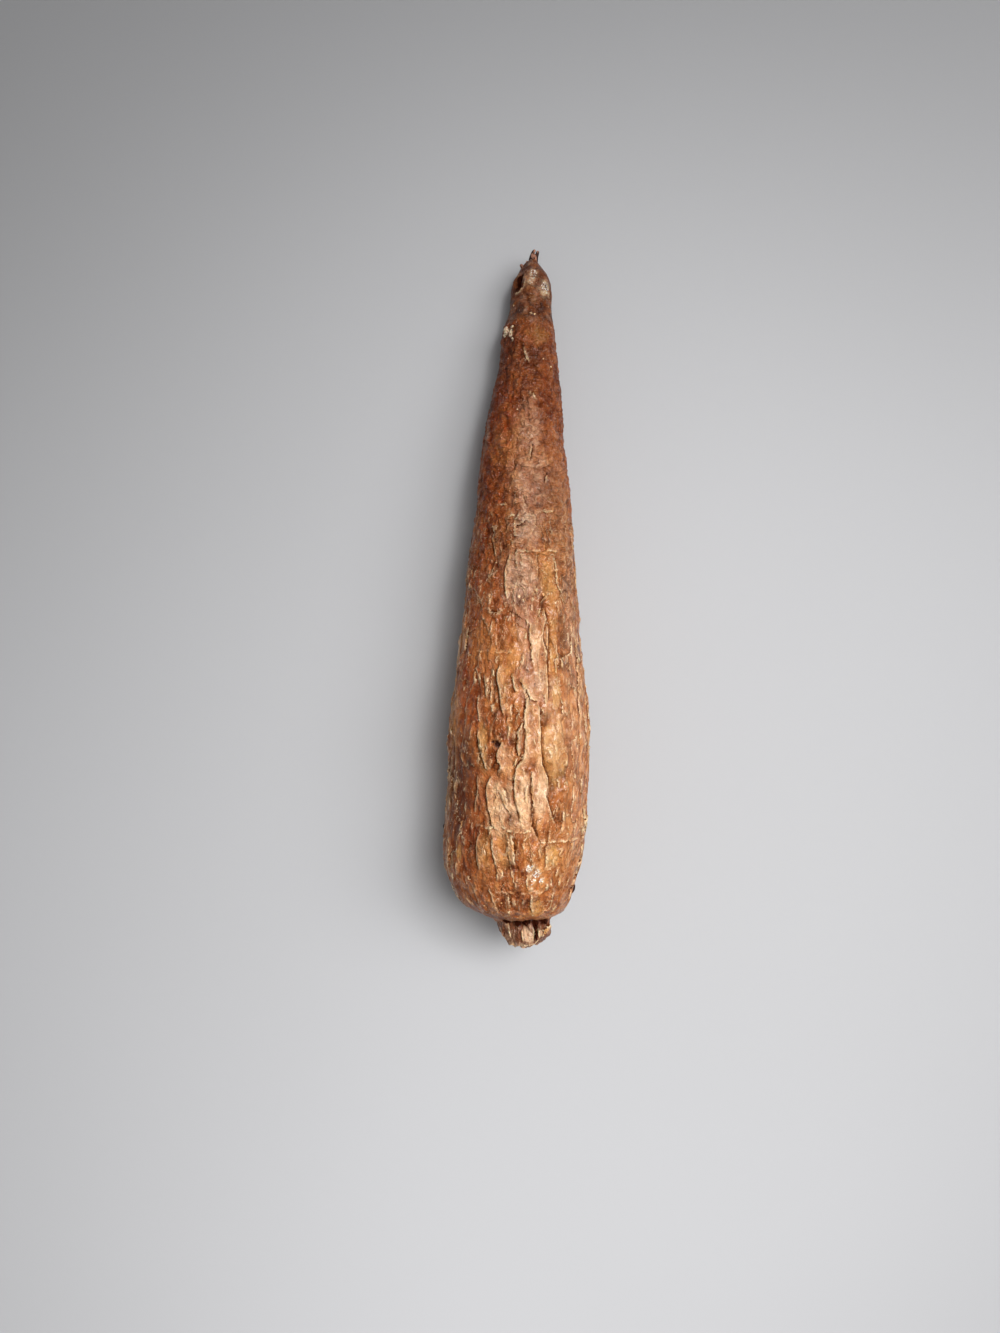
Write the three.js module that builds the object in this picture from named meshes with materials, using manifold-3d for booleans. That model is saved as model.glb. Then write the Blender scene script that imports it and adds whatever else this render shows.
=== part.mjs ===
// A cassava root, as picked: one grown piece, lying on its side on a surface.
// Millimetres, +Z up. The root's length runs along Y, from the woody neck where it was
// broken off the stem (-Y) to the thin tip (+Y). While it is being shaped, Y counts
// from the end of the neck; the finished root is moved so that its origin is under the
// middle of its box, on the surface it lies on.

import * as THREE from 'three';
import Module from 'manifold-3d';
import { mergeVertices } from 'three/addons/utils/BufferGeometryUtils.js';

// ---- driving dimensions ----------------------------------------------------------

const SIDES = 40; // facets around the root
const STEPS_PER_SPAN = 2; // facets between two stations of the girth

// The girth: [Y, distance from the centre line to the left, and to the right].
// The shoulder at the neck is blunt, the belly is widest at Y 44 to 96, and the thin
// end steps in to a cap, which ends in the stub of a rootlet.
const GIRTH = [
  [12.6, 9.2, 9.2],
  [13.6, 14.2, 13.6],
  [15.6, 18.2, 17.6],
  [18.4, 21.6, 21.0],
  [22, 23.9, 23.6],
  [27, 25.7, 25.7],
  [34, 27.7, 27.7],
  [44, 29.0, 29.1],
  [56, 29.1, 29.5],
  [70, 28.8, 29.3],
  [79, 28.6, 29.3],
  [88, 29.2, 29.3],
  [96, 29.2, 28.8],
  [104, 28.5, 28.2],
  [112, 27.6, 27.4],
  [121, 26.4, 26.0],
  [130, 24.9, 24.6],
  [139, 24.2, 24.8],
  [147, 23.4, 23.8],
  [155, 22.6, 23.0],
  [163, 22.2, 22.8],
  [172, 21.4, 21.8],
  [182, 20.2, 20.9],
  [190, 19.5, 20.2],
  [198, 18.8, 19.1],
  [207, 17.8, 18.3],
  [216, 16.8, 16.8],
  [224, 15.9, 16.4],
  [233, 14.8, 15.2],
  [240, 13.7, 14.1],
  [247, 12.4, 12.9],
  [255, 11.5, 12.3],
  [263, 10.9, 11.6],
  [267.5, 10.3, 11.0],
  [270, 9.2, 9.8],
  [276, 8.8, 9.6],
  [283, 8.5, 9.3],
  [287, 7.5, 8.3],
  [290.5, 5.4, 6.5],
  [293, 4.0, 4.1],
  [295, 2.4, 2.5],
  [297, 1.7, 1.8],
  [299.3, 1.5, 1.6],
];
const SHOULDER_END = 11.9; // where the swollen root closes, inside the neck
const TIP_END = 300; // the length of the whole root

// The centre line: [Y, X, Z]. It falls towards the tip, so that the root lies on the
// underside of its belly and on its cap, with a slight arch between them.
const CENTRE_LINE = [
  [0, -0.4, 27.6],
  [14, -1.4, 27.6],
  [18, -3.2, 27.5],
  [25, -5.1, 27.5],
  [34, -5.4, 27.6],
  [48, -4.6, 27.6],
  [64, -3.3, 27.5],
  [86, -2.7, 27.3],
  [104, -2.4, 26.3],
  [121, -2.1, 24.6],
  [139, -1.8, 23.9],
  [163, -1.6, 22.5],
  [182, -0.8, 20.9],
  [207, -0.8, 18.4],
  [222, -0.5, 16.6],
  [236, 0.8, 14.9],
  [248, 1.6, 13.3],
  [262, 1.4, 11.3],
  [270, 2.2, 9.5],
  [280, 2.6, 8.6],
  [290, 2.9, 8.8],
  [300, 3.5, 9.8],
];

// How high the section is for its width: [Y, ratio].
const FLATNESS = [
  [0, 0.94],
  [60, 0.96],
  [110, 0.96],
  [160, 0.95],
  [220, 0.96],
  [265, 1.0],
  [300, 1.0],
];

// The woody neck, broken off aslant: [Y, left, right] as for the girth. Its left side
// leans in towards the broken end, and its right side stands out in a ragged lip.
const NECK_GIRTH = [
  [0.4, 5.2, 2.4],
  [1.7, 6.9, 5.4],
  [3.2, 8.0, 8.8],
  [5.6, 9.4, 11.3],
  [7.0, 10.3, 11.7],
  [9.7, 11.3, 9.8],
  [12, 11.6, 9.2],
  [16, 11.0, 9.4],
  [20, 9.0, 8.4],
];
const NECK_HOLLOW = 2.8; // Y of the bottom of the hollow in the broken end
const NECK_END = 20.5; // where the neck's solid ends, inside the root
const NECK_CENTRE = new THREE.Vector2(-0.4, 27.6); // X and Z
const NECK_FLATNESS = 0.86;
const NECK_SIDES = 28;

// The broken end is ragged: its rim stands out and back by turns. A wave has its share of
// the unevenness, its crests around, and the angle it starts at.
const RAGGED_REACH = 7; // how far back from the broken end the rim is uneven
const RAGGED_DEPTH = 0.8;
const RAGGED_FULL_RADIUS = 8; // distance from the neck's axis where it is fully uneven
const RAGGED_WAVES = [
  { share: 0.55, around: 3, start: 0.6 },
  { share: 0.45, around: 7, start: 0 },
];

// Uneven growth: shallow swellings that wander along the root and fade at its ends.
const SWELLING = 0.018; // as a share of the root's radius
const SWELLING_FADES_IN = [16, 50]; // Y from and to
const SWELLING_FADES_OUT = [240, 275];
// As for the rim, and each wave turns by a radian in so much Y.
const SWELLING_WAVES = [
  { share: 0.5, around: 2, along: 31, start: 0 },
  { share: 0.4, around: 3, along: -19, start: 1.3 },
];
// The lumps sway from side to side along the root, by so many radians.
const LUMPS = { share: 0.3, around: 5, along: 16, sway: 1.7 };

const MERGE_DISTANCE = 1e-4; // corners closer than this are one corner

// ---- the surface it lies on -------------------------------------------------------

const SURFACE_WIDTH = 400;
const SURFACE_LENGTH = 800;
const SURFACE_DEPTH = 20;

// ---- helpers ------------------------------------------------------------------------

// A smooth curve through rows of [Y, value, value...], read at any Y.
function curveAlong(rows) {
  const positions = rows.map((row) => row[0]);
  const values = rows.flatMap((row) => row.slice(1));
  const curve = new THREE.CubicInterpolant(positions, values, rows[0].length - 1);
  return (y) => Array.from(curve.evaluate(y));
}

function reshape(geometry, move) {
  const position = geometry.attributes.position;
  const point = new THREE.Vector3();
  for (let i = 0; i < position.count; i += 1) {
    point.fromBufferAttribute(position, i);
    move(point);
    position.setXYZ(i, point.x, point.y, point.z);
  }
  return geometry;
}

const wasm = await Module();
wasm.setup();

function toSolid(geometry) {
  const bare = geometry.clone();
  bare.deleteAttribute('normal');
  bare.deleteAttribute('uv');
  const merged = mergeVertices(bare, MERGE_DISTANCE);
  return new wasm.Manifold(
    new wasm.Mesh({
      numProp: 3,
      vertProperties: new Float32Array(merged.attributes.position.array),
      triVerts: new Uint32Array(merged.index.array),
    })
  );
}

function toGeometry(solid) {
  const mesh = solid.getMesh();
  const geometry = new THREE.BufferGeometry();
  geometry.setAttribute('position', new THREE.BufferAttribute(mesh.vertProperties, 3));
  geometry.setIndex(new THREE.BufferAttribute(mesh.triVerts, 1));
  geometry.computeVertexNormals();
  return geometry;
}

// A closed body of revolution along Y through rows of [Y, left, right].
function latheOf(rows, start, end, sides) {
  const outline = rows.map(([y, left, right]) => new THREE.Vector2((left + right) / 2, y));
  const spline = new THREE.SplineCurve(outline);
  const profile = [
    new THREE.Vector2(0, start),
    ...spline.getPoints((rows.length - 1) * STEPS_PER_SPAN),
    new THREE.Vector2(0, end),
  ];
  return new THREE.LatheGeometry(profile, sides);
}

// How much wider than the mean one side of the section is: the left and right differ.
function sideShare(x, [left, right]) {
  return (x < 0 ? 2 * left : 2 * right) / (left + right);
}

// One wave of the unevenness around the root, which may also turn along it.
function waveAt({ share, around, along = Infinity, start }, angle, y) {
  return share * Math.sin(around * angle + y / along + start);
}

// ---- the swollen root -----------------------------------------------------------------

function swelling(angle, y) {
  const fadeIn = THREE.MathUtils.smoothstep(y, ...SWELLING_FADES_IN);
  const fadeOut = 1 - THREE.MathUtils.smoothstep(y, ...SWELLING_FADES_OUT);
  const [twoSided, threeSided] = SWELLING_WAVES.map((wave) => waveAt(wave, angle, y));
  const sway = LUMPS.sway * Math.sin(y / LUMPS.along);
  const lumpy = LUMPS.share * Math.sin(LUMPS.around * angle + sway);
  return 1 + SWELLING * fadeIn * fadeOut * (twoSided + threeSided + lumpy);
}

function swollenRoot() {
  const lathe = latheOf(GIRTH, SHOULDER_END, TIP_END, SIDES);
  const centreAt = curveAlong(CENTRE_LINE);
  const flatnessAt = curveAlong(FLATNESS);
  const sidesAt = curveAlong(GIRTH);
  return reshape(lathe, (point) => {
    const angle = Math.atan2(point.z, point.x);
    const [x, z] = centreAt(point.y);
    const swollen = swelling(angle, point.y);
    point.x = x + point.x * sideShare(point.x, sidesAt(point.y)) * swollen;
    point.z = z + point.z * flatnessAt(point.y)[0] * swollen;
  });
}

// ---- the woody neck -------------------------------------------------------------------

function ragged(angle) {
  const [coarse, fine] = RAGGED_WAVES.map((wave) => waveAt(wave, angle, 0));
  return coarse + fine;
}

function woodyNeck() {
  const lathe = latheOf(NECK_GIRTH, NECK_HOLLOW, NECK_END, NECK_SIDES);
  const sidesAt = curveAlong(NECK_GIRTH);
  return reshape(lathe, (point) => {
    const angle = Math.atan2(point.z, point.x);
    const fromAxis = Math.hypot(point.x, point.z);
    const nearEnd = Math.max(0, 1 - point.y / RAGGED_REACH);
    const atRim = nearEnd * (fromAxis / RAGGED_FULL_RADIUS);
    point.x = NECK_CENTRE.x + point.x * sideShare(point.x, sidesAt(point.y));
    point.y = Math.max(0, point.y + RAGGED_DEPTH * atRim * ragged(angle));
    point.z = NECK_CENTRE.y + point.z * NECK_FLATNESS;
  });
}

// ---- the whole root ---------------------------------------------------------------------

// The skin yields a little where it bears on the surface: that cut leaves the small flat
// faces under the belly and the cap that the root lies on.
function belowTheSurface() {
  const slab = new THREE.BoxGeometry(SURFACE_WIDTH, SURFACE_LENGTH, SURFACE_DEPTH);
  slab.translate(0, 0, -SURFACE_DEPTH / 2);
  return slab;
}

const grown = toSolid(swollenRoot()).add(toSolid(woodyNeck()));
const lying = grown.subtract(toSolid(belowTheSurface()));

const bark = new THREE.MeshStandardMaterial({ color: 0x8f5630, roughness: 0.42, metalness: 0 });
const cassavaRoot = new THREE.Mesh(toGeometry(lying), bark);
cassavaRoot.name = 'cassava_root';

cassavaRoot.geometry.computeBoundingBox();
const box = cassavaRoot.geometry.boundingBox;
const middle = box.getCenter(new THREE.Vector3());
cassavaRoot.position.set(-middle.x, -middle.y, -box.min.z);

const part = new THREE.Group();
part.add(cassavaRoot);

export default part;
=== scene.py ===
import math
import random
from functools import partial

import bpy
import numpy as np
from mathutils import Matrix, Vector, noise
from mathutils.bvhtree import BVHTree


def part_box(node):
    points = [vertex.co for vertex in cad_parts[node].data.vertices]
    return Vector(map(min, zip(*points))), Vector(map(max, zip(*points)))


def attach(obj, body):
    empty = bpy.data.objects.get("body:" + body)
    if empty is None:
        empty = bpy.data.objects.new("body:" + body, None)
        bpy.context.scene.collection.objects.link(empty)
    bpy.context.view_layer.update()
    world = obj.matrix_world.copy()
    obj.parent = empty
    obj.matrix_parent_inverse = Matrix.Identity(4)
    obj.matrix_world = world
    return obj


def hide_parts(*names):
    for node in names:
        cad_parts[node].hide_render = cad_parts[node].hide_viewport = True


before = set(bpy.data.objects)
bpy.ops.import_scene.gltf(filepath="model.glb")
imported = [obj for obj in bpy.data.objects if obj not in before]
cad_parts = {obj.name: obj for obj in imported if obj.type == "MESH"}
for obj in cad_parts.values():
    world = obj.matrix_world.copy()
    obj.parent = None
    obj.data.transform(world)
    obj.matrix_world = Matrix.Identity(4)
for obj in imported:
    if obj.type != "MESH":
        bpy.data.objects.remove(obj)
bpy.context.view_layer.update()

bl_info = {
    "name": "Cassava root",
    "version": (1, 0, 0),
    "blender": (4, 5, 0),
    "location": "View3D > Sidebar > Cassava",
    "description": "A whole waxed cassava root on its side, with flaking bark and a woody neck",
    "category": "Add Mesh",
}

NODE = "cassava_root"
BODY = "root"
MM = 0.001

# All the numbers below are in millimetres, in the root's own measure: across is to the right of
# the middle, along runs from the cut end of the neck to the tip, and height is above the resting
# surface. ALONG_ZERO is where the neck's end is in the frame.
ALONG_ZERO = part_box(NODE)[0][1] / MM

# ---------------------------------------------------------------- grid of the skin
COLUMNS = 60
# How much closer together the columns are at the crown than where they are evenly spread.
CROWN_SHARE = 0.42
SUBDIVISIONS = 2
# Middle of the neck: across, height.
NECK_AXIS = (3.4, 27.6)
# Hubs are points on the centre line, given as along, that the rays to the surface start from.
NECK_HUB = 14.0
SHOULDER_HUB = 34.0
THIN_HUB = 160
CAP_HUB = 283.0
# Legs of the grid: rows, hub from and to, tilt from and to, in degrees off the way to the tip.
LEGS = (
    (6, NECK_HUB, NECK_HUB, 180, 143),
    (7, NECK_HUB, NECK_HUB, 143, 100),
    (11, SHOULDER_HUB, SHOULDER_HUB, 157, 90),
    (36, SHOULDER_HUB, THIN_HUB, 90, 90),
    (31, THIN_HUB, CAP_HUB, 90, 90),
    (6, CAP_HUB, CAP_HUB, 90, 12),
    (1, CAP_HUB, CAP_HUB, 12, 12),
)
# How far the closing point of the tip stands out, as a share of the last ring's reach.
TIP_REACH = 1.02
# Points closer than this are one.
MERGE_GAP = 0.002
# Stations along the root where its middle and its radius are measured, in slices this thick.
STATIONS = np.array([4.0, 10.0, *np.arange(30.0, 291.0, 10.0)])
SLICE = 10.0
# Small changes of aim for a ray that slips between two faces.
NUDGES = (0, 0.002, -0.002, 0.005)

# ---------------------------------------------------------------- marks on the bark
# Edges of plates: points as across and along, from the tip's side down, then the depth of the
# crack, the height of the lip, the side that the plate is on (1 is right) and how pale it is.
PLATE_EDGES = (
    # belly, middle
    (((2.2, 109), (3.5, 104.5), (2.7, 98), (3.3, 90), (2.7, 82.5), (-0.5, 78), (-1.3, 73.5), (-1, 65.5),
      (0.7, 59.5), (1.6, 55), (2, 52.7)), 0.9, 0.6, 1, 0.8),
    (((0.7, 113.5), (2.5, 110), (4.2, 107), (5.6, 104.5), (8.6, 104.2)), 0.6, 0.6, 1, 0.5),
    (((8.4, 103.7), (9.1, 98.5), (9.5, 92), (9.5, 84.5), (10, 79), (12.3, 73.5),
      (12.8, 69)), 0.8, 0.5, -1, 0.7),
    (((5.8, 77), (5.4, 69), (6.2, 63), (5.4, 57)), 0.8, 0.4, 1, 0.6),
    (((2.6, 96.4), (0, 92.2), (-0.4, 86.3), (0.8, 81.7)), 0.7, 0.6, 1, 0.4),
    (((2.4, 83.5), (0.8, 81.7)), 0.5, 0.4, 1, 0.4),
    (((-6, 88.2), (-8.3, 83.5), (-7.9, 80), (-6.6, 78.3), (-8, 75.5)), 0.7, 0.8, 1, 0.5),
    (((-2.2, 115), (-1.4, 110), (-0.3, 107.5)), 0.5, 0.5, 1, 0.2),
    # belly, left
    (((-15.7, 93.2), (-15.4, 88), (-14.5, 83.5), (-13.2, 79.5), (-12, 76.3)), 0.9, 1.0, 1, 0.4),
    (((-15.4, 106.5), (-16, 103), (-15.5, 99), (-14.9, 95.5)), 0.5, 0.6, 1, 0.3),
    (((-10.2, 103), (-9.9, 99.5)), 0.4, 0.6, 1, 0.2),
    (((-9.8, 75), (-12, 71.5), (-12.4, 66), (-11.2, 60.5), (-10.2, 55), (-7.1, 53)), 0.9, 0.9, 1, 0.6),
    (((-7.8, 69.5), (-5.8, 65), (-3.6, 60.5), (-2, 58.8)), 0.4, 0.4, 1, 0.3),
    (((-6, 70.5), (-4.4, 67), (-3.4, 64)), 0.4, 0.3, -1, 0.2),
    (((-16.3, 75), (-15.9, 69), (-17, 64), (-17, 59.5)), 0.7, 0.6, 1, 0.2),
    (((-15.8, 51.3), (-16.4, 46), (-15.8, 39.5), (-14.8, 36.7)), 0.8, 0.9, 1, 0.3),
    (((-9.8, 51.3), (-10.3, 47), (-9.4, 42), (-8, 36.7), (-8.5, 32.2)), 0.6, 0.6, 1, 0.3),
    (((-2.1, 52.2), (-1.4, 47.5), (-1.2, 42), (-0.7, 39.5)), 0.6, 0.7, -1, 0.4),
    # belly, right
    (((6.1, 62), (5.7, 55), (8.3, 49.5)), 0.6, 0.3, -1, 0.3),
    (((11.1, 67.7), (12.9, 62.2), (13.8, 58.5), (15.2, 55)), 0.6, 0.4, -1, 0.3),
    (((18.4, 60), (17.5, 52)), 0.5, 0.5, 1, 0.3),
    (((11, 47), (11.3, 41), (11, 36.5)), 0.5, 0.4, 1, 0.5),
    # waist
    (((-6.8, 119.3), (-8, 115.5), (-7.8, 111), (-7.1, 107), (-6.6, 102), (-5.4, 98)), 0.8, 1.0, 1, 0.4),
    (((-13.2, 114), (-12.6, 109.5), (-12.4, 105)), 0.5, 0.6, 1, 0.3),
    (((12.3, 135), (12.6, 128), (12.2, 122.8), (12.2, 112), (12.4, 103.5)), 0.6, 0.5, -1, 0.5),
    (((11, 142), (11.9, 137), (10.3, 130.4), (11.4, 125.4), (11.9, 119)), 0.5, 0.4, -1, 0.3),
    (((5.3, 136), (4.6, 130.4), (5.7, 124), (6.1, 119)), 0.5, 0.5, 1, 0.6),
    (((-19.6, 134.5), (-20.4, 129), (-21.2, 124)), 1.0, 0.4, -1, 0.6),
    (((-11.4, 140.8), (-10, 140), (-8.4, 139.8), (-6.8, 139.3)), 1.0, 0.3, -1, 0.2),
    # above the waist
    (((-2.5, 164), (-4.1, 160), (-5, 156.7), (-5, 152), (-4.6, 147), (-4, 144.5)), 0.5, 0.55, 1, 0.6),
    (((0.2, 166), (-0.8, 162.5), (-0.4, 157.5)), 0.3, 0.3, 1, 0.3),
    (((8.3, 164), (8.6, 158), (8.4, 152)), 0.4, 0.15, -1, 0.2),
    (((2.7, 187.5), (3.2, 185.5), (4.2, 183)), 0.6, 0.15, -1, 0.1),
    (((6.7, 209), (6, 207), (5.8, 204.7), (5.1, 202.3)), 0.5, 0.2, -1, 0.1),
    (((12.6, 197.5), (12.2, 194.5)), 0.9, 0.35, 1, 0.2),
    (((5.8, 233.4), (7.2, 231.6), (8.7, 229.6)), 0.2, 0.3, -1, 0.2),
    # wrinkled patch
    (((-1.5, 175.7), (0.8, 176), (2.8, 176.7), (3.7, 178.2)), 0.6, 0.12, 1, 0.1),
    (((0.7, 181.7), (0.2, 180.2), (-1.5, 177.2), (-1.5, 175.3), (-1, 173.4), (-1.5, 171.6),
      (0.4, 170.2)), 0.35, 0.25, 1, 0.3),
    (((6.4, 181.7), (7.8, 178.1), (7.8, 174.9), (5.5, 170.7)), 0.3, 0.2, -1, 0.3),
    (((-9.8, 176), (-9.4, 172.5), (-9.8, 169), (-9.2, 165.5), (-8.8, 162.6)), 0.6, 0.35, 1, 0.1),
    (((-4.9, 179.2), (-3.8, 175.8), (-4.7, 172)), 0.4, 0.15, 1, 0.1),
    # near the cap, and the edge of the hole in it
    (((2.5, 253.6), (3.8, 250), (5.5, 246.5)), 0.1, 0.35, 1, 0.2),
    (((4.2, 284.6), (3.2, 282), (1.6, 280), (-0.6, 279.6)), 0.1, 0.32, 1, 0.2),
    # low end
    (((5.6, 27.5), (5.2, 22), (6.1, 18.5)), 0.6, 0.5, 1, 0.3),
    (((-3.4, 27.6), (-2.5, 22)), 0.5, 0.4, -1, 0.2),
)
# Growth rings: along, across from and to, how strongly they show.
RINGS = (
    (179, -3.6, 1.2, 0.9), (181, 6, 15, 0.7), (164.6, 0.5, 10, 0.6), (164.6, 12, 16.5, 0.9),
    (141, -14, -10.8, 0.7), (139.8, -9.6, -5.6, 0.5), (123.8, -16.4, -11, 0.6), (123.2, -9, -1.5, 0.9),
    (54.2, -17, -13.5, 0.6), (53.8, -13, -4.5, 1.0), (52.4, -4.5, 5.5, 0.7), (47.8, 8.5, 25, 0.7),
    (39, -9.2, -7.2, 0.7), (36.6, 11.3, 13.7, 0.6), (36.6, 19, 21, 0.5), (27.6, -9, -1, 0.35),
    (27.2, 1.5, 10.5, 0.45), (184.2, -8.8, -4, 0.5),
)
# Pits: across, along, radius, depth.
PITS = (
    (-8.2, 87.2, 1.9, 1.4), (-9.8, 88, 1.0, 0.7), (-0.9, 240, 0.8, 0.6), (3.3, 212.3, 0.6, 0.5),
    (6.8, 209.4, 0.6, 0.5), (12.9, 198, 0.8, 0.6), (19.4, 189.8, 0.7, 0.6), (7, 110.6, 0.6, 0.4),
    (-2, 262, 0.7, 0.6),
)
# Splinters and chips of the broken neck, as for the plates.
NECK_EDGES = (
    (((-7.8, 12.8), (-7, 9.5), (-5.3, 6.2), (-3, 3.4)), 0.2, 0.45, 1, 0.0),
    (((-3.6, 12.4), (-2.9, 9), (-1.8, 5.4)), 0.5, 0.5, -1, 0.1),
    (((2, 9.8), (1.9, 7.6), (2.6, 5)), 0.3, 0.9, 1, 0.8),
    (((7.2, 10.6), (7.4, 7.8), (6.9, 5)), 0.9, 0.7, -1, 0.8),
    (((8.6, 10.4), (8.4, 8), (9, 6)), 0.8, 0.9, 1, 0.4),
    (((12.4, 10.6), (11.6, 8.6), (12, 6.6)), 0.6, 0.8, 1, 0.5),
    (((9.4, 9.4), (10.4, 8), (10.2, 6.8)), 0.7, 0.6, -1, 0.5),
    (((-4.4, 4.6), (-2.4, 2.8), (1.5, 2.4), (4.5, 2.8), (7.5, 3.8), (10, 5.2),
      (12.6, 6.8)), 0.4, 0.9, 1, 0.3),
)
# Hollows without a rim, under the shoulder, in the neck's end and in the cap: across, along,
# radius, depth.
HOLLOWS = (
    (-5.2, 13.6, 2.6, 0.8), (-2.2, 13, 3.2, 1.1), (1.4, 13, 3.4, 1.4), (4.6, 13.3, 3, 1.2),
    (7.8, 13, 2.8, 1.2), (11.2, 13, 2.8, 1.0), (7.9, 10.4, 1.2, 0.7), (10.2, 5.6, 1.2, 0.8),
    (2.5, 287.6, 1.5, 0.9), (1.7, 285.6, 2, 1.2), (0.8, 283.4, 2, 1.1), (0.1, 281.6, 1.5, 0.7),
    (-1.6, 262.4, 1.1, 0.6), (13.7, 282.5, 0.8, 0.5), (15, 280.4, 0.7, 0.5), (11.4, 280.4, 0.6, 0.4),
)
# Small raised dots painted cream as glints of light: across, along, radius.
GLINT_SPECKS = (
    (11.4, 248.3, 0.4), (14.7, 245.2, 0.4), (3.2, 231.2, 0.5), (0.3, 225.4, 0.6), (-0.6, 214.3, 0.4),
    (-5.2, 164.7, 0.5), (-8.4, 160, 0.5), (-11.6, 155, 0.5), (-12.8, 147.7, 0.5), (1, 146, 0.9),
    (-4.4, 147.4, 0.8), (2.4, 144.6, 0.7), (7.8, 148.6, 0.9), (10.4, 147, 0.8), (16.4, 157.3, 0.6),
    (20.4, 171.3, 0.7), (18.8, 145, 0.8), (6.5, 269.3, 1.0), (7.9, 269.1, 0.9), (10.2, 270, 0.4),
    (-0.6, 274, 0.4), (-0.2, 272.6, 0.4), (-10.2, 102, 0.6), (-9.8, 99, 0.5), (-21, 96, 0.5),
    (-22, 90, 0.4), (0.5, 12.8, 0.5), (2.4, 13, 0.4), (4.6, 13.3, 0.4), (1.4, 12, 0.4), (-6, 23.3, 0.7),
    (-3, 19.8, 0.7), (-3.1, 21.8, 0.6), (-13, 21.6, 0.6), (6.4, 17.6, 0.6), (12.5, 19, 0.5),
)
# Patches of each layer: across, along, half width, half length, strength.
PATCHES = {
    "flaked": (
        (2.2, 64, 3.6, 11.5, 1.0), (9.3, 67, 2.8, 8.5, 0.95), (6, 92, 3, 12, 0.32),
        (-7, 63, 5.6, 11, 0.7), (7.6, 128, 2, 10.5, 0.7), (1, 154, 5, 9, 0.3), (5, 156, 3.5, 8, 0.3),
        (14, 106, 4, 9, 0.3), (2, 60, 5, 9, 0.5), (-4.5, 81, 3, 6, 0.4), (14, 88, 5, 8, 0.25),
        (9, 113, 3, 7, 0.5), (3.5, 174, 4, 5.5, 0.35), (15, 90, 4.5, 14, 0.3),
    ),
    "ochre": (
        (13, 152, 4, 9, 0.7), (15.7, 106.5, 2.4, 5, 1.0), (15, 84, 7, 15, 0.7), (14, 42, 3.5, 5.5, 0.9),
        (8, 21, 3.5, 3.5, 0.8), (-23, 43, 1.2, 4, 0.8), (14.5, 128, 2, 12, 0.6),
        (-13.5, 86, 2.5, 9, 0.8), (-5, 111, 3, 8, 0.35), (-13, 45, 3, 7, 0.5), (11, 259, 3.5, 4.5, 0.4),
        (-5, 45, 3.5, 7, 0.4), (14.5, 128, 2.2, 26, 0.4),
    ),
    "rust": (
        (-3.5, 220, 4, 14, 0.9), (-14, 130, 7, 40, 0.4), (-6, 245, 6, 14, 0.6), (12, 235, 4, 18, 0.5),
        (-8, 200, 8, 20, 0.5), (3, 277, 6, 5, 0.35),
    ),
    # besides the wax haze, painted sheen along the crown; the one at -12.4 is a painted highlight
    "bloom": (
        (6.5, 111, 5, 7, 0.6), (4, 175, 5.5, 8, 1.0), (5.5, 214, 6, 13, 0.5), (5.5, 195, 8, 13, 0.5),
        (1.5, 153, 7, 11, 0.75), (8, 66, 4, 10, 0.3), (3.5, 138, 3.5, 9, 0.5), (4, 122, 3.5, 10, 0.4),
        (-12.4, 215, 1.6, 6, 0.6), (21, 92, 4, 20, 0.3), (7, 286, 3.4, 5.5, 0.4),
        (12, 281.5, 4, 4, 0.42),
    ),
    "tone": (
        (3.5, 176, 5, 7, 0.6), (13, 152, 4, 9, 0.4), (-5, 214, 7, 11, 0.9), (5, 214, 6, 12, 0.5),
        (-6, 128, 7, 16, 0.2), (9, 259, 5, 6, 0.8), (14, 77, 5, 8, -0.45), (21, 80, 5, 12, -0.35),
        (15, 24, 8, 5, -0.2), (-9, 41, 7, 7, -0.3), (18, 130, 6, 9, -0.95), (24, 130, 4, 12, -0.6),
        (15, 30, 8, 14, 0.3), (-8, 24, 7, 5, -0.3), (9, 54, 8, 12, 0.3),
    ),
    # the wide one at along 270 paints the shadow at the cap's ledge; the left flank ones are partly painted
    # shade
    "bruise": (
        (-23.5, 66, 8.5, 23, 0.78), (-19, 79, 3, 5, 0.8), (-12, 196, 5, 10, 0.4), (-6, 172, 7, 6, 0.3),
        (-3.5, 250, 6, 11, 0.7), (-7, 16, 8, 3, 0.4), (2, 270, 12, 5, 0.6), (-1, 284, 6, 9, 0.45),
        (14, 285, 4, 6, 0.5), (4, 293, 9, 4, 0.5), (17, 185, 4, 12, 0.3),
    ),
    "mould": (
        (5.2, 38, 2.2, 2.4, 0.76), (7.8, 35.8, 2.2, 2.4, 0.78), (9.8, 32.6, 1.5, 2.2, 0.76),
        (6.4, 34.4, 1.6, 3, 0.68), (5.4, 30, 1.2, 1.8, 0.68), (13, 281.4, 3, 4.4, 0.7),
        (7.6, 287.6, 2.2, 3.4, 0.68), (6.6, 283.2, 2, 1.8, 0.64), (-3, 262, 2.4, 2.6, 0.7),
    ),
    # painted shade in the hole of the cap
    "crevice": (
        (1.4, 285, 1.8, 3.9, 1.0),
    ),
}
# Bare chips of the neck's wood and the shadows under the shoulder, as above.
NECK_PATCHES = {
    "flaked": ((4.6, 7.6, 2.6, 3.2, 1.0), (10.4, 7.4, 1.6, 1.6, 0.6)),
    "crevice": (
        (-3.4, 12.2, 3, 1.1, 1.0), (0.6, 11.8, 3, 1.4, 1.0), (3.8, 12.2, 3, 1.0, 1.0),
        (7.6, 11.6, 2.2, 1.5, 1.0), (10.6, 11.9, 3, 1.3, 1.0), (8, 7.2, 0.7, 2.4, 1.0),
    ),
}
# Layers whose patches fade out slowly.
SOFT_LAYERS = ("bloom", "tone", "bruise", "rust")
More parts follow.
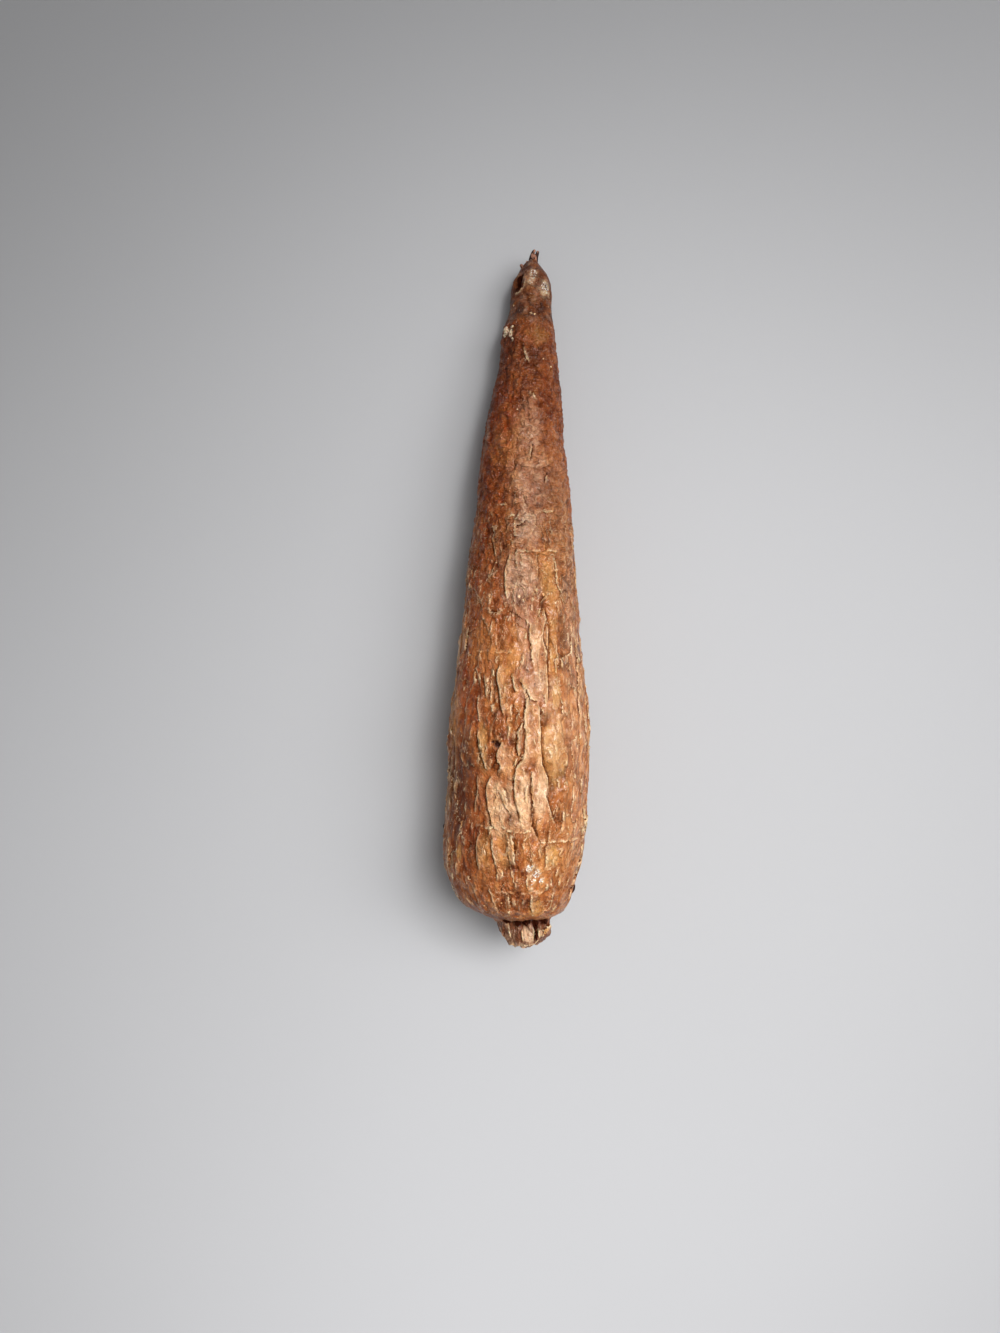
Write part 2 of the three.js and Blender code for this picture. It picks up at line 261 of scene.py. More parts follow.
# Dry fibres and thorns of the thin end: points as across, along and height above the middle of
# the root, and the radius at each point.
TIP_STEMS = (
    (((6.8, 291.5, 0), (6.7, 295, 0.3), (7.0, 297.6, 0.5), (7.8, 299.9, 0.4), (8.7, 300.5, 0.4)),
     (1.8, 1.3, 1.0, 0.85, 0.6)),
    (((8.5, 291.5, 0), (8.6, 295, 0), (9.1, 297.6, 0.2), (9.9, 300.2, 0.3)), (1.8, 1.3, 0.95, 0.7)),
    (((7.7, 290.5, 0), (7.7, 293, 0.2), (7.9, 296.2, 0.2), (8.4, 299, 0.2)), (3.0, 2.2, 1.3, 0.8)),
    (((5, 290, 0.6), (3.4, 292, 1.2), (2.2, 293.9, 1.3)), (1.5, 1.25, 0.7)),
    (((6.3, 292.6, 0.8), (5.2, 294.4, 1.2), (4.8, 295.4, 1.3)), (0.9, 0.7, 0.45)),
    (((14.2, 265.9, 1.5), (15.8, 264.6, 1.5), (15.9, 262.2, 1.5)), (1.0, 0.9, 0.55)),
)
# Dark slivers of bark that stand off the skin, as above.
SLIVERS = (
    (((20.6, 19.3, 0), (20.6, 17.4, 0.5), (19.2, 15.6, 0.8), (17.9, 14.2, 0.6)), (0.5, 0.8, 0.9, 0.4)),
    (((24.6, 26.2, 0), (24.3, 24.4, 0.4), (23.6, 22.8, 0.4)), (0.4, 0.6, 0.4)),
    (((-29.6, 52, 0), (-30.5, 50.6, 0.2), (-29.8, 49.4, 0.2)), (0.5, 0.7, 0.5)),
    (((27.4, 124.4, 0), (27.9, 123, 0.4), (27.2, 121, 0.4)), (0.4, 0.6, 0.4)),
    (((28.8, 99.6, 0), (29.3, 98, 0.4), (28.9, 96.6, 0.4)), (0.4, 0.6, 0.4)),
)
# Crumbs of dried wax: across, along, radius, how long they are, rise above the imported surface.
CRUMBS = (
    (-4, 262.2, 1.4, 1.3, 0.2), (-2.2, 260, 0.9, 1.7, 0.1), (-4.6, 260.4, 0.9, 1.2, 0.1),
    (-1.6, 263.4, 0.5, 1.2, 0.1), (-1.4, 257.6, 0.4, 2.2, 0.0),
)
# A crumb along its length: place from -1 to 1, share of its radius.
CRUMB_SHAPE = ((-1, 0.35), (-0.6, 0.85), (0, 1.0), (0.6, 0.8), (1, 0.3))
# How rough the stems and the crumbs are.
STEM_ROUGHNESS = 0.16
CRUMB_ROUGHNESS = 0.55
# How far the dots of the painted glints stand up.
GLINT_SPECK_RISE = 0.3
# How pale the rim of a pit is.
PIT_RIM = 0.25
# Places where the skin hasn't torn: across, along, radius.
UNTORN = ((-5.5, 128, 4.5), (0, 156, 5), (-12, 151, 5))
# What is stored at each point of the skin, three to an attribute.
LAYERS = (
    "tone", "flaked", "ochre", "rust", "bloom", "bruise", "crevice", "lip", "mould", "wood", "grown",
    "crinkled", "edge", "cut", "rim", "sheet_large", "sheet_medium", "sheet_small", "left_large",
    "left_medium", "left_small",
)
# Distances to an edge are kept within this much either side of it.
EDGE_REACH = 2.5
# The listed edges keep this much of the skin beside them to themselves.
EDGE_ROOM = 0.9
# Sheets of bark that have torn: size of the tears, how far their edges wander, seed, how much of
# the skin is bare, thickness, how far the edge curls up, how much the bare part pales.
SHEETS = {
    "large": {
        "cells": (9, 26, 9), "warp": 2.6, "seed": 31, "bare": 0.06, "thickness": 0.45, "curl": 0.4,
        "pale": 0.2,
    },
    "medium": {
        "cells": (4.6, 12, 4.6), "warp": 1.5, "seed": 41, "bare": 0.14, "thickness": 0.3, "curl": 0.3,
        "pale": 0.12,
    },
    "small": {
        "cells": (2.4, 4.6, 2.4), "warp": 0.8, "seed": 51, "bare": 0.34, "thickness": 0.15, "curl": 0.2,
        "pale": -0.12,
    },
}
# Smooth noises: size of a swelling across, along and up, and a seed of its own.
GRAINS = {
    "frayed": ((3.2, 5.5, 3.2), 1), "finely frayed": ((1.3, 2.2, 1.3), 2), "broad": ((9, 18, 9), 3),
    "middling": ((3.6, 6, 3.6), 4), "fine": ((1.5, 2, 1.5), 5), "mottled": ((6, 18, 6), 6),
    "damp": ((11, 22, 11), 7), "strands": ((2.4, 6, 2.4), 8), "fine strands": ((0.9, 2.6, 0.9), 9),
    "end grain": ((1.3, 9, 1.3), 10), "creased": ((2.4, 3, 2.4), 12), "torn": ((9, 18, 9), 13),
    "cap haze": ((3, 4, 3), 14), "crumpled": ((3.4, 3.4, 3.4), 15), "bare belly": ((7, 14, 7), 16),
    "fine end grain": ((0.6, 9, 0.6), 17), "knobbly": ((6.5, 7.5, 6.5), 18), "pulled": ((4, 4, 4), 19),
    "furrowed": ((5, 9, 5), 20), "ragged": ((1.2, 1.8, 1.2), 21), "worn": ((3, 4.5, 3), 22),
    "dry stem": ((0.5, 0.9, 0.5), 51), "crumbly": ((1.1, 1.1, 1.1), 61),
}
# A drift is three noises, and this is how far their seeds are apart.
DRIFT_SEEDS = 11.37
BARK_SEED = 11
PLATE_SEED = 12
# Cracks that grow by themselves: long ones on the sides and the underside, short ones all over,
# and creases that run aslant on the wrinkled end.
LONG_CRACKS = 150
SHORT_CRACKS = 380
SLANTED_CREASES = 150

# ---------------------------------------------------------------- stage, in metres
# Lamps: name, place, aim, radius, cone in degrees, power in watts.
LAMPS = (
    ("key", (0.36, -0.04, 0.95), (0.0, -0.38, 0), 0.44, 54, 99.0),
    ("side", (0.9, 0.2, 0.8), (0.18, 0.1, 0), 0.3, 62, 27.0),
    ("glint", (0.36, 0.46, 0.86), (0.0, 0.075, 0.02), 0.1, 26, 8.0),
)
ROOM_LIGHT = 0.34
CAMERA_PLACE = (-0.0068, -0.0321, 0.4638)
CAMERA_NEAR = 0.01
LENS = 28
SENSOR = 36


def linear(code):
    """sRGB hex to linear RGBA."""
    parts = [int(code[i : i + 2], 16) / 255 for i in (1, 3, 5)]
    return tuple(p / 12.92 if p <= 0.04045 else ((p + 0.055) / 1.055) ** 2.4 for p in parts) + (1.0,)


def colour_property(name, code, description):
    return bpy.props.FloatVectorProperty(
        name=name, description=description, subtype="COLOR", size=4, min=0, max=1, default=linear(code)
    )


def length_property(name, millimetres, description):
    return bpy.props.FloatProperty(
        name=name, description=description, unit="LENGTH", default=millimetres * MM, min=0
    )


class CassavaSkin(bpy.types.PropertyGroup):
    swell: length_property("Swellings", 0.5, "Height of the broad swellings")
    lumps: length_property("Lumps", 0.3, "Height of the small lumps")
    wrinkles: length_property("Wrinkles", 0.14, "Height of the fine wrinkles")
    shelf: length_property("Plate width", 4.5, "How far a plate's surface slopes down from its lip")
    skin: colour_property("Skin", "#A55B2B", "Outer skin, a thin brown cork")
    skin_dark: colour_property("Dark skin", "#5C280F", "Outer skin where it is thick")
    skin_pale: colour_property("Pale skin", "#CE864A", "Outer skin where it is worn thin")
    # also painted shade: it darkens and reddens the left flank, which turns away from the lamps
    rust: colour_property("Rust", "#963A0B", "Young red-brown skin near the tip")
    ochre: colour_property("Ochre", "#CC9350", "Yellow layer just under the skin")
    flaked: colour_property("Flaked", "#EDC193", "Pale layer where plates have come off")
    # also painted sheen: the pale pink light the wax reflects along the crown and on the right side
    bloom: colour_property("Bloom", "#CFA488", "Pinkish haze of wax over the skin")
    # also painted shade: the band at the cap's ledge and the dark left flank of the belly
    bruise: colour_property("Bruise", "#43241A", "Dark, damp patches")
    # painted shade at the bottom of pits and holes and under the shoulder; the neck's pith takes it too
    crevice: colour_property("Crevice", "#35150A", "Bottom of pits and holes")
    # painted shadow: the dark line beside the edge of a plate
    groove_shadow: colour_property("Groove", "#521F08", "Dark line beside the edge of a plate")
    lip: colour_property("Lip", "#F5D5A8", "Raised cream edge of a plate")
    lip_warm: colour_property("Warm lip", "#E4A468", "Edge of a plate that still has skin on it")
    mould: colour_property("Crumbs", "#EFE8DC", "White crumbs of dried wax")
    wood: colour_property("Wood", "#DDB793", "Fibre of the cut neck")
    wood_dark: colour_property("Dark wood", "#74432C", "Bark and dirt between the fibres")


class CassavaTip(bpy.types.PropertyGroup):
    fibre: colour_property("Fibre", "#A87660", "Dry root fibre, paler side")
    fibre_dark: colour_property("Dark fibre", "#2E1510", "Dry root fibre, burnt dark by drying")
    crumb: colour_property("Crumb", "#CDB698", "Dried wax")
    # laid where the crumbs' bump sinks
    crumb_dark: colour_property("Dirty crumb", "#8E6B50", "Dust in the dried wax")


class CassavaStage(bpy.types.PropertyGroup):
    floor: colour_property("Floor", "#B0B0B2", "Plain pale surface that the root lies on")
    floor_cloud: colour_property("Floor cloud", "#9A9A9A", "Darkest part of the paint's faint mottling")
    room: colour_property("Room", "#F4F4F4", "Soft light from all round")
    floor_size: bpy.props.FloatProperty(
        name="Floor size", description="Side of the floor", unit="LENGTH", default=6.0, min=1.0
    )


# ---------------------------------------------------------------- small tools
def deselect():
    if bpy.context.mode != "OBJECT":
        bpy.ops.object.mode_set(mode="OBJECT")
    bpy.ops.object.select_all(action="DESELECT")


def smoothstep(low, high, value):
    t = np.clip((value - low) / (high - low), 0, 1)
    return t * t * (3 - 2 * t)


def between(rise_from, rise_to, fall_from, fall_to, value):
    """1 inside a span and 0 outside it, with soft ends."""
    return smoothstep(rise_from, rise_to, value) * (1 - smoothstep(fall_from, fall_to, value))


def bell(distance, width):
    return np.exp(-0.5 * (distance / width) ** 2)


def wobble(points, cells, seed):
    """Smooth noise from -1 to 1 at each point, with cells of the given size."""
    scaled = points / np.asarray(cells) + np.array((seed * 7.3, seed * 3.1, seed * 5.7))
    return np.array([noise.noise(p) for p in scaled.tolist()])


def drift(points, cells, seed):
    """Smooth pushes in three directions, each from -1 to 1."""
    return np.stack([wobble(points, cells, seed + DRIFT_SEEDS * part) for part in (1, 2, 3)], axis=1)


def to_scene(points):
    """From the root's own millimetres to metres in the frame."""
    return (np.asarray(points, float) + (0, ALONG_ZERO, 0)) * MM


def from_scene(points):
    return np.asarray(points, float) / MM - (0, ALONG_ZERO, 0)


def wrapped_grid(name, rings):
    """A closed tube of quads through the rings, each a row of points. The first and last rings
    are single points."""
    rows, columns = rings.shape[0] - 1, rings.shape[1]
    deselect()
    bpy.ops.mesh.primitive_grid_add(x_subdivisions=columns, y_subdivisions=rows, size=1.0)
    piece = bpy.context.object
    piece.name = piece.data.name = name
    mesh = piece.data
    flat = np.empty(len(mesh.vertices) * 3)
    mesh.vertices.foreach_get("co", flat)
    flat = flat.reshape(-1, 3)
    column = np.rint((flat[:, 0] + 0.5) * columns).astype(int) % columns
    row = np.rint((flat[:, 1] + 0.5) * rows).astype(int)
    mesh.vertices.foreach_set("co", to_scene(rings[row, column]).ravel())
    mesh.uv_layers[0].name = "OFBake"
    bpy.ops.object.mode_set(mode="EDIT")
    bpy.ops.mesh.select_all(action="SELECT")
    bpy.ops.mesh.remove_doubles(threshold=MERGE_GAP * MM)
    bpy.ops.mesh.normals_make_consistent(inside=False)
    bpy.ops.object.mode_set(mode="OBJECT")
    bpy.ops.object.shade_smooth()
    return piece


def subdivide(piece, levels):
    finish = piece.modifiers.new("smooth", "SUBSURF")
    finish.levels = finish.render_levels = levels
    bpy.context.view_layer.objects.active = piece
    bpy.ops.object.modifier_apply(modifier=finish.name)


def points_of(mesh):
    flat = np.empty(len(mesh.vertices) * 3)
    mesh.vertices.foreach_get("co", flat)
    return from_scene(flat.reshape(-1, 3))


def raise_skin(piece, height, floor=-math.inf):
    """Moves each point out along its normal, and none below the floor."""
    mesh = piece.data
    flat = np.empty(len(mesh.vertices) * 3)
    mesh.vertex_normals.foreach_get("vector", flat)
    points = points_of(mesh) + flat.reshape(-1, 3) * height[:, None]
    points[:, 2] = np.maximum(points[:, 2], floor)
    mesh.vertices.foreach_set("co", to_scene(points).ravel())
    mesh.update()


def join_parts(parts, name):
    deselect()
    for part in parts:
        part.select_set(True)
    bpy.context.view_layer.objects.active = parts[0]
    bpy.ops.object.join()
    piece = bpy.context.object
    piece.name = piece.data.name = name
    return piece


def finish_piece(piece, material):
    piece.data.materials.clear()
    piece.data.materials.append(material)
    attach(piece, BODY)
    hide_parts(NODE)


# ---------------------------------------------------------------- the frame's surface
class Surface:
    """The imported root, as rays and slices see it, in the root's own millimetres."""

    def __init__(self):
        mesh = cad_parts[NODE].data
        points = points_of(mesh)
        faces = [tuple(face.vertices) for face in mesh.polygons]
        self.tree = BVHTree.FromPolygons([Vector(p) for p in points], faces)
        middles, radii = [], []
        for station in STATIONS:
            near = points[np.abs(points[:, 1] - station) < SLICE / 2]
            low, high = near.min(axis=0), near.max(axis=0)
            middles.append((low + high) / 2)
            radii.append((high - low)[[0, 2]].mean() / 2)
        self.middles = np.array(middles)
        self.radii = np.array(radii)

    def middle(self, along):
        """Across and height of the centre line."""
        return tuple(np.interp(along, STATIONS, self.middles[:, axis]) for axis in (0, 2))

    def girth_radius(self, along):
        return np.interp(along, STATIONS, self.radii)

    def hit(self, origin, direction):
        for nudge in NUDGES:
            aim = Vector(direction) + Vector((nudge, 0.7 * nudge, 0.4 * nudge))
            place = self.tree.ray_cast(Vector(origin), aim.normalized())[0]
            if place is not None:
                return np.array(place)
        raise RuntimeError(f"no surface found from {origin} towards {direction}")

    def height(self, across, along):
        """Height of the side that faces up."""
        return self.hit((across, along, 200), (0, 0, -1))[2]

    def turn(self, points):
        """Angle round the centre line, 0 at the crown and growing to the right."""
        x, z = self.middle(points[:, 1])
        return np.arctan2(points[:, 0] - x, points[:, 2] - z)


def skin_rings(surface):
    """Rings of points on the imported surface, from the neck's end to the tip."""
    turns = np.arange(COLUMNS) / COLUMNS * 2 * math.pi
    turns = turns - CROWN_SHARE * np.sin(turns)
    rings = []
    for rows, hub_from, hub_to, tilt_from, tilt_to in LEGS:
        for share in np.arange(rows) / rows:
            hub = hub_from + (hub_to - hub_from) * share
            tilt = math.radians(tilt_from + (tilt_to - tilt_from) * share)
            x, z = NECK_AXIS if hub <= NECK_HUB else surface.middle(hub)
            out, ahead = math.sin(tilt), math.cos(tilt)
            aims = [(out * math.sin(turn), ahead, out * math.cos(turn)) for turn in turns]
            rings.append([surface.hit((x, hub, z), aim) for aim in aims])
    x, z = surface.middle(CAP_HUB)
    last = np.array(rings[-1])
    centre = last.mean(axis=0)
    centre[1] = CAP_HUB + TIP_REACH * np.linalg.norm(last - (x, CAP_HUB, z), axis=1).mean()
    rings.append([centre] * COLUMNS)
    return np.array(rings)


def sweep(path, radii, sides=8):
    """Rings of a closed, tapering stem along a path."""
    path = np.array(path, float)
    rings = [[path[0]] * sides]
    for number, (point, radius) in enumerate(zip(path, radii)):
        ahead = path[min(number + 1, len(path) - 1)] - path[max(number - 1, 0)]
        ahead /= np.linalg.norm(ahead)
        first = np.cross(ahead, (0.3, 0.2, 1))
        first /= np.linalg.norm(first)
        second = np.cross(ahead, first)
        turns = np.arange(sides) / sides * 2 * math.pi
        rings.append([point + radius * (math.cos(t) * first + math.sin(t) * second) for t in turns])
    rings.append([path[-1]] * sides)
    return np.array(rings)


# ---------------------------------------------------------------- relief and layers
class Bark:
    """Height and layers of the bark at each point of the skin. Turn is the angle round the root,
    gap the distance to the nearest edge, and settled that to the nearest listed one."""

    def __init__(self, surface, points):
        self.surface = surface
        self.points = points
        self.along = points[:, 1]
        self.turn = surface.turn(points)
        self.radius = surface.girth_radius(self.along)
        self.around = np.stack((np.cos(self.turn), np.zeros(len(points)), -np.sin(self.turn)), axis=1)
        self.height = np.zeros(len(points))
        self.layers = {name: np.zeros(len(points)) for name in LAYERS}
        self.layers["edge"] += 1.0
        self.gap = np.full(len(points), np.inf)
        self.settled = self.gap.copy()
        # the thin end is wrinkled across, where the belly's grain runs along
        self.crinkled = smoothstep(120, 182, self.along)
        self.crosswise = points.copy()
        self.crosswise[:, 1] = (self.along - 150) * (1 + 0.3 * self.crinkled)
        self.body = between(14, 30, 262, 272, self.along)
        self.facing = 1 - 0.6 * smoothstep(0.8, 1.3, np.abs(self.turn))
        self.ragged = self.grain("ragged")
        self.worn = self.grain("worn")
        self.frayed = self.grain("frayed") + 0.5 * self.grain("finely frayed")
        self.broad = self.grain("broad")
        self.middling = self.grain("middling")
        self.crumpled = wobble(self.crosswise, *GRAINS["crumpled"])
        self.knobbly = self.grain("knobbly")

    def grain(self, name):
        return wobble(self.points, *GRAINS[name])

    def cover(self, layer, amount):
        self.layers[layer] = np.maximum(self.layers[layer], amount)

    def place(self, across, along):
        """Turn and along of a point on the side that faces up."""
        x, z = self.surface.middle(along)
        return math.atan2(across - x, self.surface.height(across, along) - z), along

    def lean(self, turn):
        """Angle from a turn to each point, the short way round."""
        return (self.turn - turn + math.pi) % (2 * math.pi) - math.pi

    def gap_to(self, across, along):
        return np.linalg.norm(self.points - (across, along, self.surface.height(across, along)), axis=1)

    def offsets(self, path, margin):
        """Points near a path of (turn, along): which ones, distance, side, share of the way."""
        path = np.array(path)
        radius = self.surface.girth_radius(path[:, 1].mean())
        middle = path[:, 0].mean()
        spread = np.abs(path[:, 0] - middle).max() + margin / radius
        lean = self.lean(middle)
        near = np.flatnonzero(
            (np.abs(lean) < spread)
            & (self.along > path[:, 1].min() - margin)
            & (self.along < path[:, 1].max() + margin)
        )
        here = np.stack((lean[near] * radius, self.along[near]), axis=1)
        line = np.stack(((path[:, 0] - middle) * radius, path[:, 1]), axis=1)
        lengths = np.linalg.norm(np.diff(line, axis=0), axis=1)
        total, walked = lengths.sum(), 0.0
        best = np.full(len(near), np.inf)
        side = np.zeros(len(near))
        share = np.zeros(len(near))
        for start, end, length in zip(line[:-1], line[1:], lengths):
            step = (end - start) / length
            offset = here - start
            way = np.clip(offset @ step, 0, length)
            gap = offset - way[:, None] * step
            distance = np.hypot(gap[:, 0], gap[:, 1])
            closer = distance < best
            best[closer] = distance[closer]
            turned = offset[:, 0] * step[1] - offset[:, 1] * step[0]
            side[closer] = -np.sign(turned[closer])
            share[closer] = ((walked + way) / total)[closer]
            walked += length
        return near, best, side, share

    def keep_edge(self, near, gap, offset, cut, rim):
        """Remembers the nearest edge to each point, with how deep and how pale it is."""
        closer = (gap < self.gap[near]) & (self.settled[near] > EDGE_ROOM)
        which = near[closer]
        self.gap[which] = gap[closer]
        for layer, amount in (("edge", 0.5 + 0.5 * offset / EDGE_REACH), ("cut", cut), ("rim", rim)):
            self.layers[layer][which] = amount[closer]

    def crack(self, path, depth, lip, side, pale, shelf):
        """An edge of a plate: a crevice, a lip beside it, and the plate that slopes down from it."""
        near, gap, hand, share = self.offsets(path, shelf + 1.5)
        offset = gap * hand * side
        vary = np.clip(0.85 + 0.5 * self.worn[near], 0.1, 1.2)
        inside = (share > 0) & (share < 1)
        ends = smoothstep(0, 0.12, share) * smoothstep(0, 0.12, 1 - share)
        ends = np.where(inside, ends, ends * bell(gap, 0.9))
        crevice = ends * bell(offset + 0.35, 0.35) * vary
        ridge = ends * bell(offset - 0.5, 0.45) * vary
        plate = ends * smoothstep(-0.1, 0.4, offset) * (1 - smoothstep(0.2, 1, offset / shelf))
        self.height[near] += lip * (0.55 * ridge + 0.6 * plate) - depth * crevice
        self.layers["flaked"][near] = np.maximum(self.layers["flaked"][near], plate * pale * 0.6)
        reach = ends * vary * (1 - smoothstep(0.5, 0.85, gap / EDGE_REACH))
        self.keep_edge(near, gap, offset, reach * min(1, depth / 0.7), reach * min(1, lip / 0.7))

    def ring(self, along, across_from, across_to, strength):
        """A growth ring: a low, broken ridge across the root."""
        steps = max(2, int(abs(across_to - across_from) / 1.5) + 1)
        path = []
        for across in np.linspace(across_from, across_to, steps):
            sway = 0.3 * math.sin(across * 1.9) + 0.25 * math.sin(across * 4.3 + along)
            path.append(self.place(across, along + sway))
        near, gap, hand, share = self.offsets(path, EDGE_REACH)
        ends = smoothstep(0, 0.08, share) * smoothstep(0, 0.08, 1 - share)
        broken = 0.25 + 0.75 * smoothstep(-0.3, 0.1, self.worn[near])
        self.height[near] += 0.3 * ends * bell(gap, 0.6) * strength * broken
        reach = ends * strength * broken * (1 - smoothstep(0.3, 0.7, gap / EDGE_REACH))
        self.keep_edge(near, gap, gap * hand, 0.25 * reach, 0.85 * reach)

    def spot(self, across, along, radius, rise, layer, rim=0.0):
        """A round mark: a pit where rise is below 0, a small raised dot where it is above. The layer gives
        its colour: painted shade in a pit, a painted glint on a dot.
        """
        gap = self.gap_to(across, along) * (1 + 0.45 * self.ragged)
        core = bell(gap, radius * 0.6)
        self.height += rise * core
        self.cover(layer, core)
        if rim:
            self.cover("lip", rim * bell(gap - radius * 1.5, radius * 0.35))

    def torn(self, size, amount, level):
        """One sheet of bark with torn edges, kept as the distance to its nearest edge."""
        sheet = SHEETS[size]
        cells, seed = np.array(sheet["cells"]), sheet["seed"]

        def field(shift):
            points = self.points + shift
            pushed = drift(points, cells * 0.35, seed) + 0.4 * drift(points, cells * 0.13, seed + 1)
            return wobble(points + pushed * sheet["warp"], cells, seed)

        # the distance to the edge is the noise's height above it over the noise's own slope
        step = 0.4
        value = field(0)
        slope_round = (field(self.around * step) - value) / step
        slope_along = (field(np.array((0, step, 0))) - value) / step
        steep = np.maximum(np.hypot(slope_round, slope_along), 0.3 / cells[0])
        offset = np.clip((value - sheet["bare"] - level) / steep, -EDGE_REACH, EDGE_REACH)
        left = smoothstep(-0.5, 0.7, slope_round / steep)
        self.height += amount * sheet["thickness"] * smoothstep(-0.4, 0.4, offset)
        self.height += amount * sheet["curl"] * left * bell(offset - 0.5, 0.5)
        self.layers["sheet_" + size] = 0.5 + 0.5 * offset / EDGE_REACH
        self.layers["left_" + size] = left * amount

    def patch(self, layer, across, along, half_width, half_length, strength):
        soft = 0.45 if layer in SOFT_LAYERS else 0.0
        turn, along = self.place(across, along)
        reach = np.hypot(self.lean(turn) * self.radius / half_width, (self.along - along) / half_length)
        amount = strength * (1 - smoothstep(0.65 - soft, 1.25 + soft, reach + 0.35 * self.frayed))
        if layer == "tone":
            self.layers[layer] += amount
        else:
            self.cover(layer, amount)

    def paint(self, patches):
        for layer, rows in patches.items():
            for row in rows:
                self.patch(layer, *row)


def wander(chance, turn, along, length, sway, lean=0.0):
    """A path down the root that strays to either side."""
    steps = max(2, int(length / 2.5))
    path = []
    for step in range(steps + 1):
        path.append((turn, along - length * step / steps))
        turn += chance.uniform(-sway, sway) + lean
    return path


def grown_cracks(chance):
    """Cracks that grow by themselves: path, depth, lip, side, how pale."""
    made = []
    for _ in range(LONG_CRACKS):
        turn = chance.choice((-1, 1)) * chance.uniform(1.15, math.pi)
        along = chance.uniform(32, 185)
        length = min(chance.uniform(10, 34) * (1 if along < 150 else 0.6), along - 20)
        path = wander(chance, turn, along, length, 0.035)
        depth, lip = chance.uniform(0.3, 0.8), chance.uniform(0.1, 0.45)
        made.append((path, depth, lip, chance.choice((1, 1, -1)), chance.uniform(0.1, 0.7)))
    for _ in range(SHORT_CRACKS):
        turn = chance.uniform(-math.pi, math.pi)
        along = chance.uniform(20, 182)
        path = wander(chance, turn, along, chance.uniform(1.8, 6), 0.03)
        depth, lip = chance.uniform(0.1, 0.35), chance.uniform(0.2, 0.7)
        lip *= 1 if along < 112 else 0.65 if along < 150 else 0.4
        made.append((path, depth, lip, chance.choice((1, 1, -1)), chance.uniform(0, 0.2)))
    for _ in range(SLANTED_CREASES):
        turn = chance.uniform(-math.pi, math.pi)
        along = chance.uniform(125, 264)
        length = chance.uniform(1.5, 4)
        path = wander(chance, turn, along, length, 0.05, chance.uniform(-0.2, 0.2))
        made.append((path, chance.uniform(0.1, 0.4), 0.02, chance.choice((1, -1)), 0))
    return made


def swell_bark(bark, settings):
    """Broad swellings, lumps and fine wrinkles; the thin end is crumpled."""
    crumpled = (3 * bark.crumpled + 2.6 * bark.knobbly) * bark.crinkled * bark.facing
    lumps = bark.middling * (1 - bark.crinkled) + crumpled
    relief = settings.swell * bark.broad + settings.lumps * lumps + settings.wrinkles * bark.grain("fine")
    bark.height += relief / MM


def spread_growth(bark):
    """Where the skin has grown in sheets, and how calm it has stayed there."""
    along, layers = bark.along, bark.layers
    grown = smoothstep(13, 21, along) * (0.55 + 0.45 * smoothstep(30, 48, along))
    grown *= (1 - 0.94 * smoothstep(150, 195, along)) * (1 - smoothstep(262, 268, along))
    calm = 1 - 0.8 * np.maximum(np.maximum(layers["flaked"], layers["bloom"]), 0.5 * layers["ochre"])
    for across, at, radius in UNTORN:
        calm *= 1 - 0.9 * bell(bark.gap_to(across, at), radius)
    belly = between(58, 70, 112, 124, along)
    belly *= (1 - smoothstep(0.45, 0.8, bark.turn)) * (1 - smoothstep(0.9, 1.3, -bark.turn))
    calm *= 1 - 0.6 * belly * smoothstep(-0.4, 0.2, bark.grain("bare belly"))
    layers["grown"] = grown * calm
    layers["crinkled"] = np.maximum(bark.crinkled, 0.45 * (1 - smoothstep(26, 54, along)))
    return grown, calm


def cut_plates(bark, shelf):
    """The listed plates and rings."""
    chance = random.Random(PLATE_SEED)
    for path, depth, lip, side, pale in PLATE_EDGES:
        placed = []
        for first, second in zip(path[:-1], path[1:]):
            placed.append(first)
            placed.append(tuple((a + b) / 2 + chance.uniform(-0.25, 0.25) for a, b in zip(first, second)))
        placed.append(path[-1])
        width = shelf * min(1, abs(path[0][1] - path[-1][1]) / 12)
        bark.crack([bark.place(*point) for point in placed], depth, lip, side, pale, width)
    for ring in RINGS:
        bark.ring(*ring)
    bark.settled = bark.gap.copy()


def tear_sheets(bark, grown, calm):
    """Sheets of three sizes, kept clear of the listed plates."""
    flaked = bark.layers["flaked"]
    free = smoothstep(0.5, 4.5, bark.gap)
    some = smoothstep(-0.25, 0.15, bark.grain("torn"))
    low = 1 - smoothstep(30, 55, bark.along)
    bark.torn("large", grown * calm * free * (0.3 + 0.7 * some), 0.4 * flaked)
    bark.torn("medium", grown * (0.4 + 0.6 * calm) * free * (0.25 + 0.75 * some), 0.2 * flaked)
    bark.torn("small", grown * (0.3 + 0.7 * calm) * (0.2 + 0.8 * some), -0.25 * low)


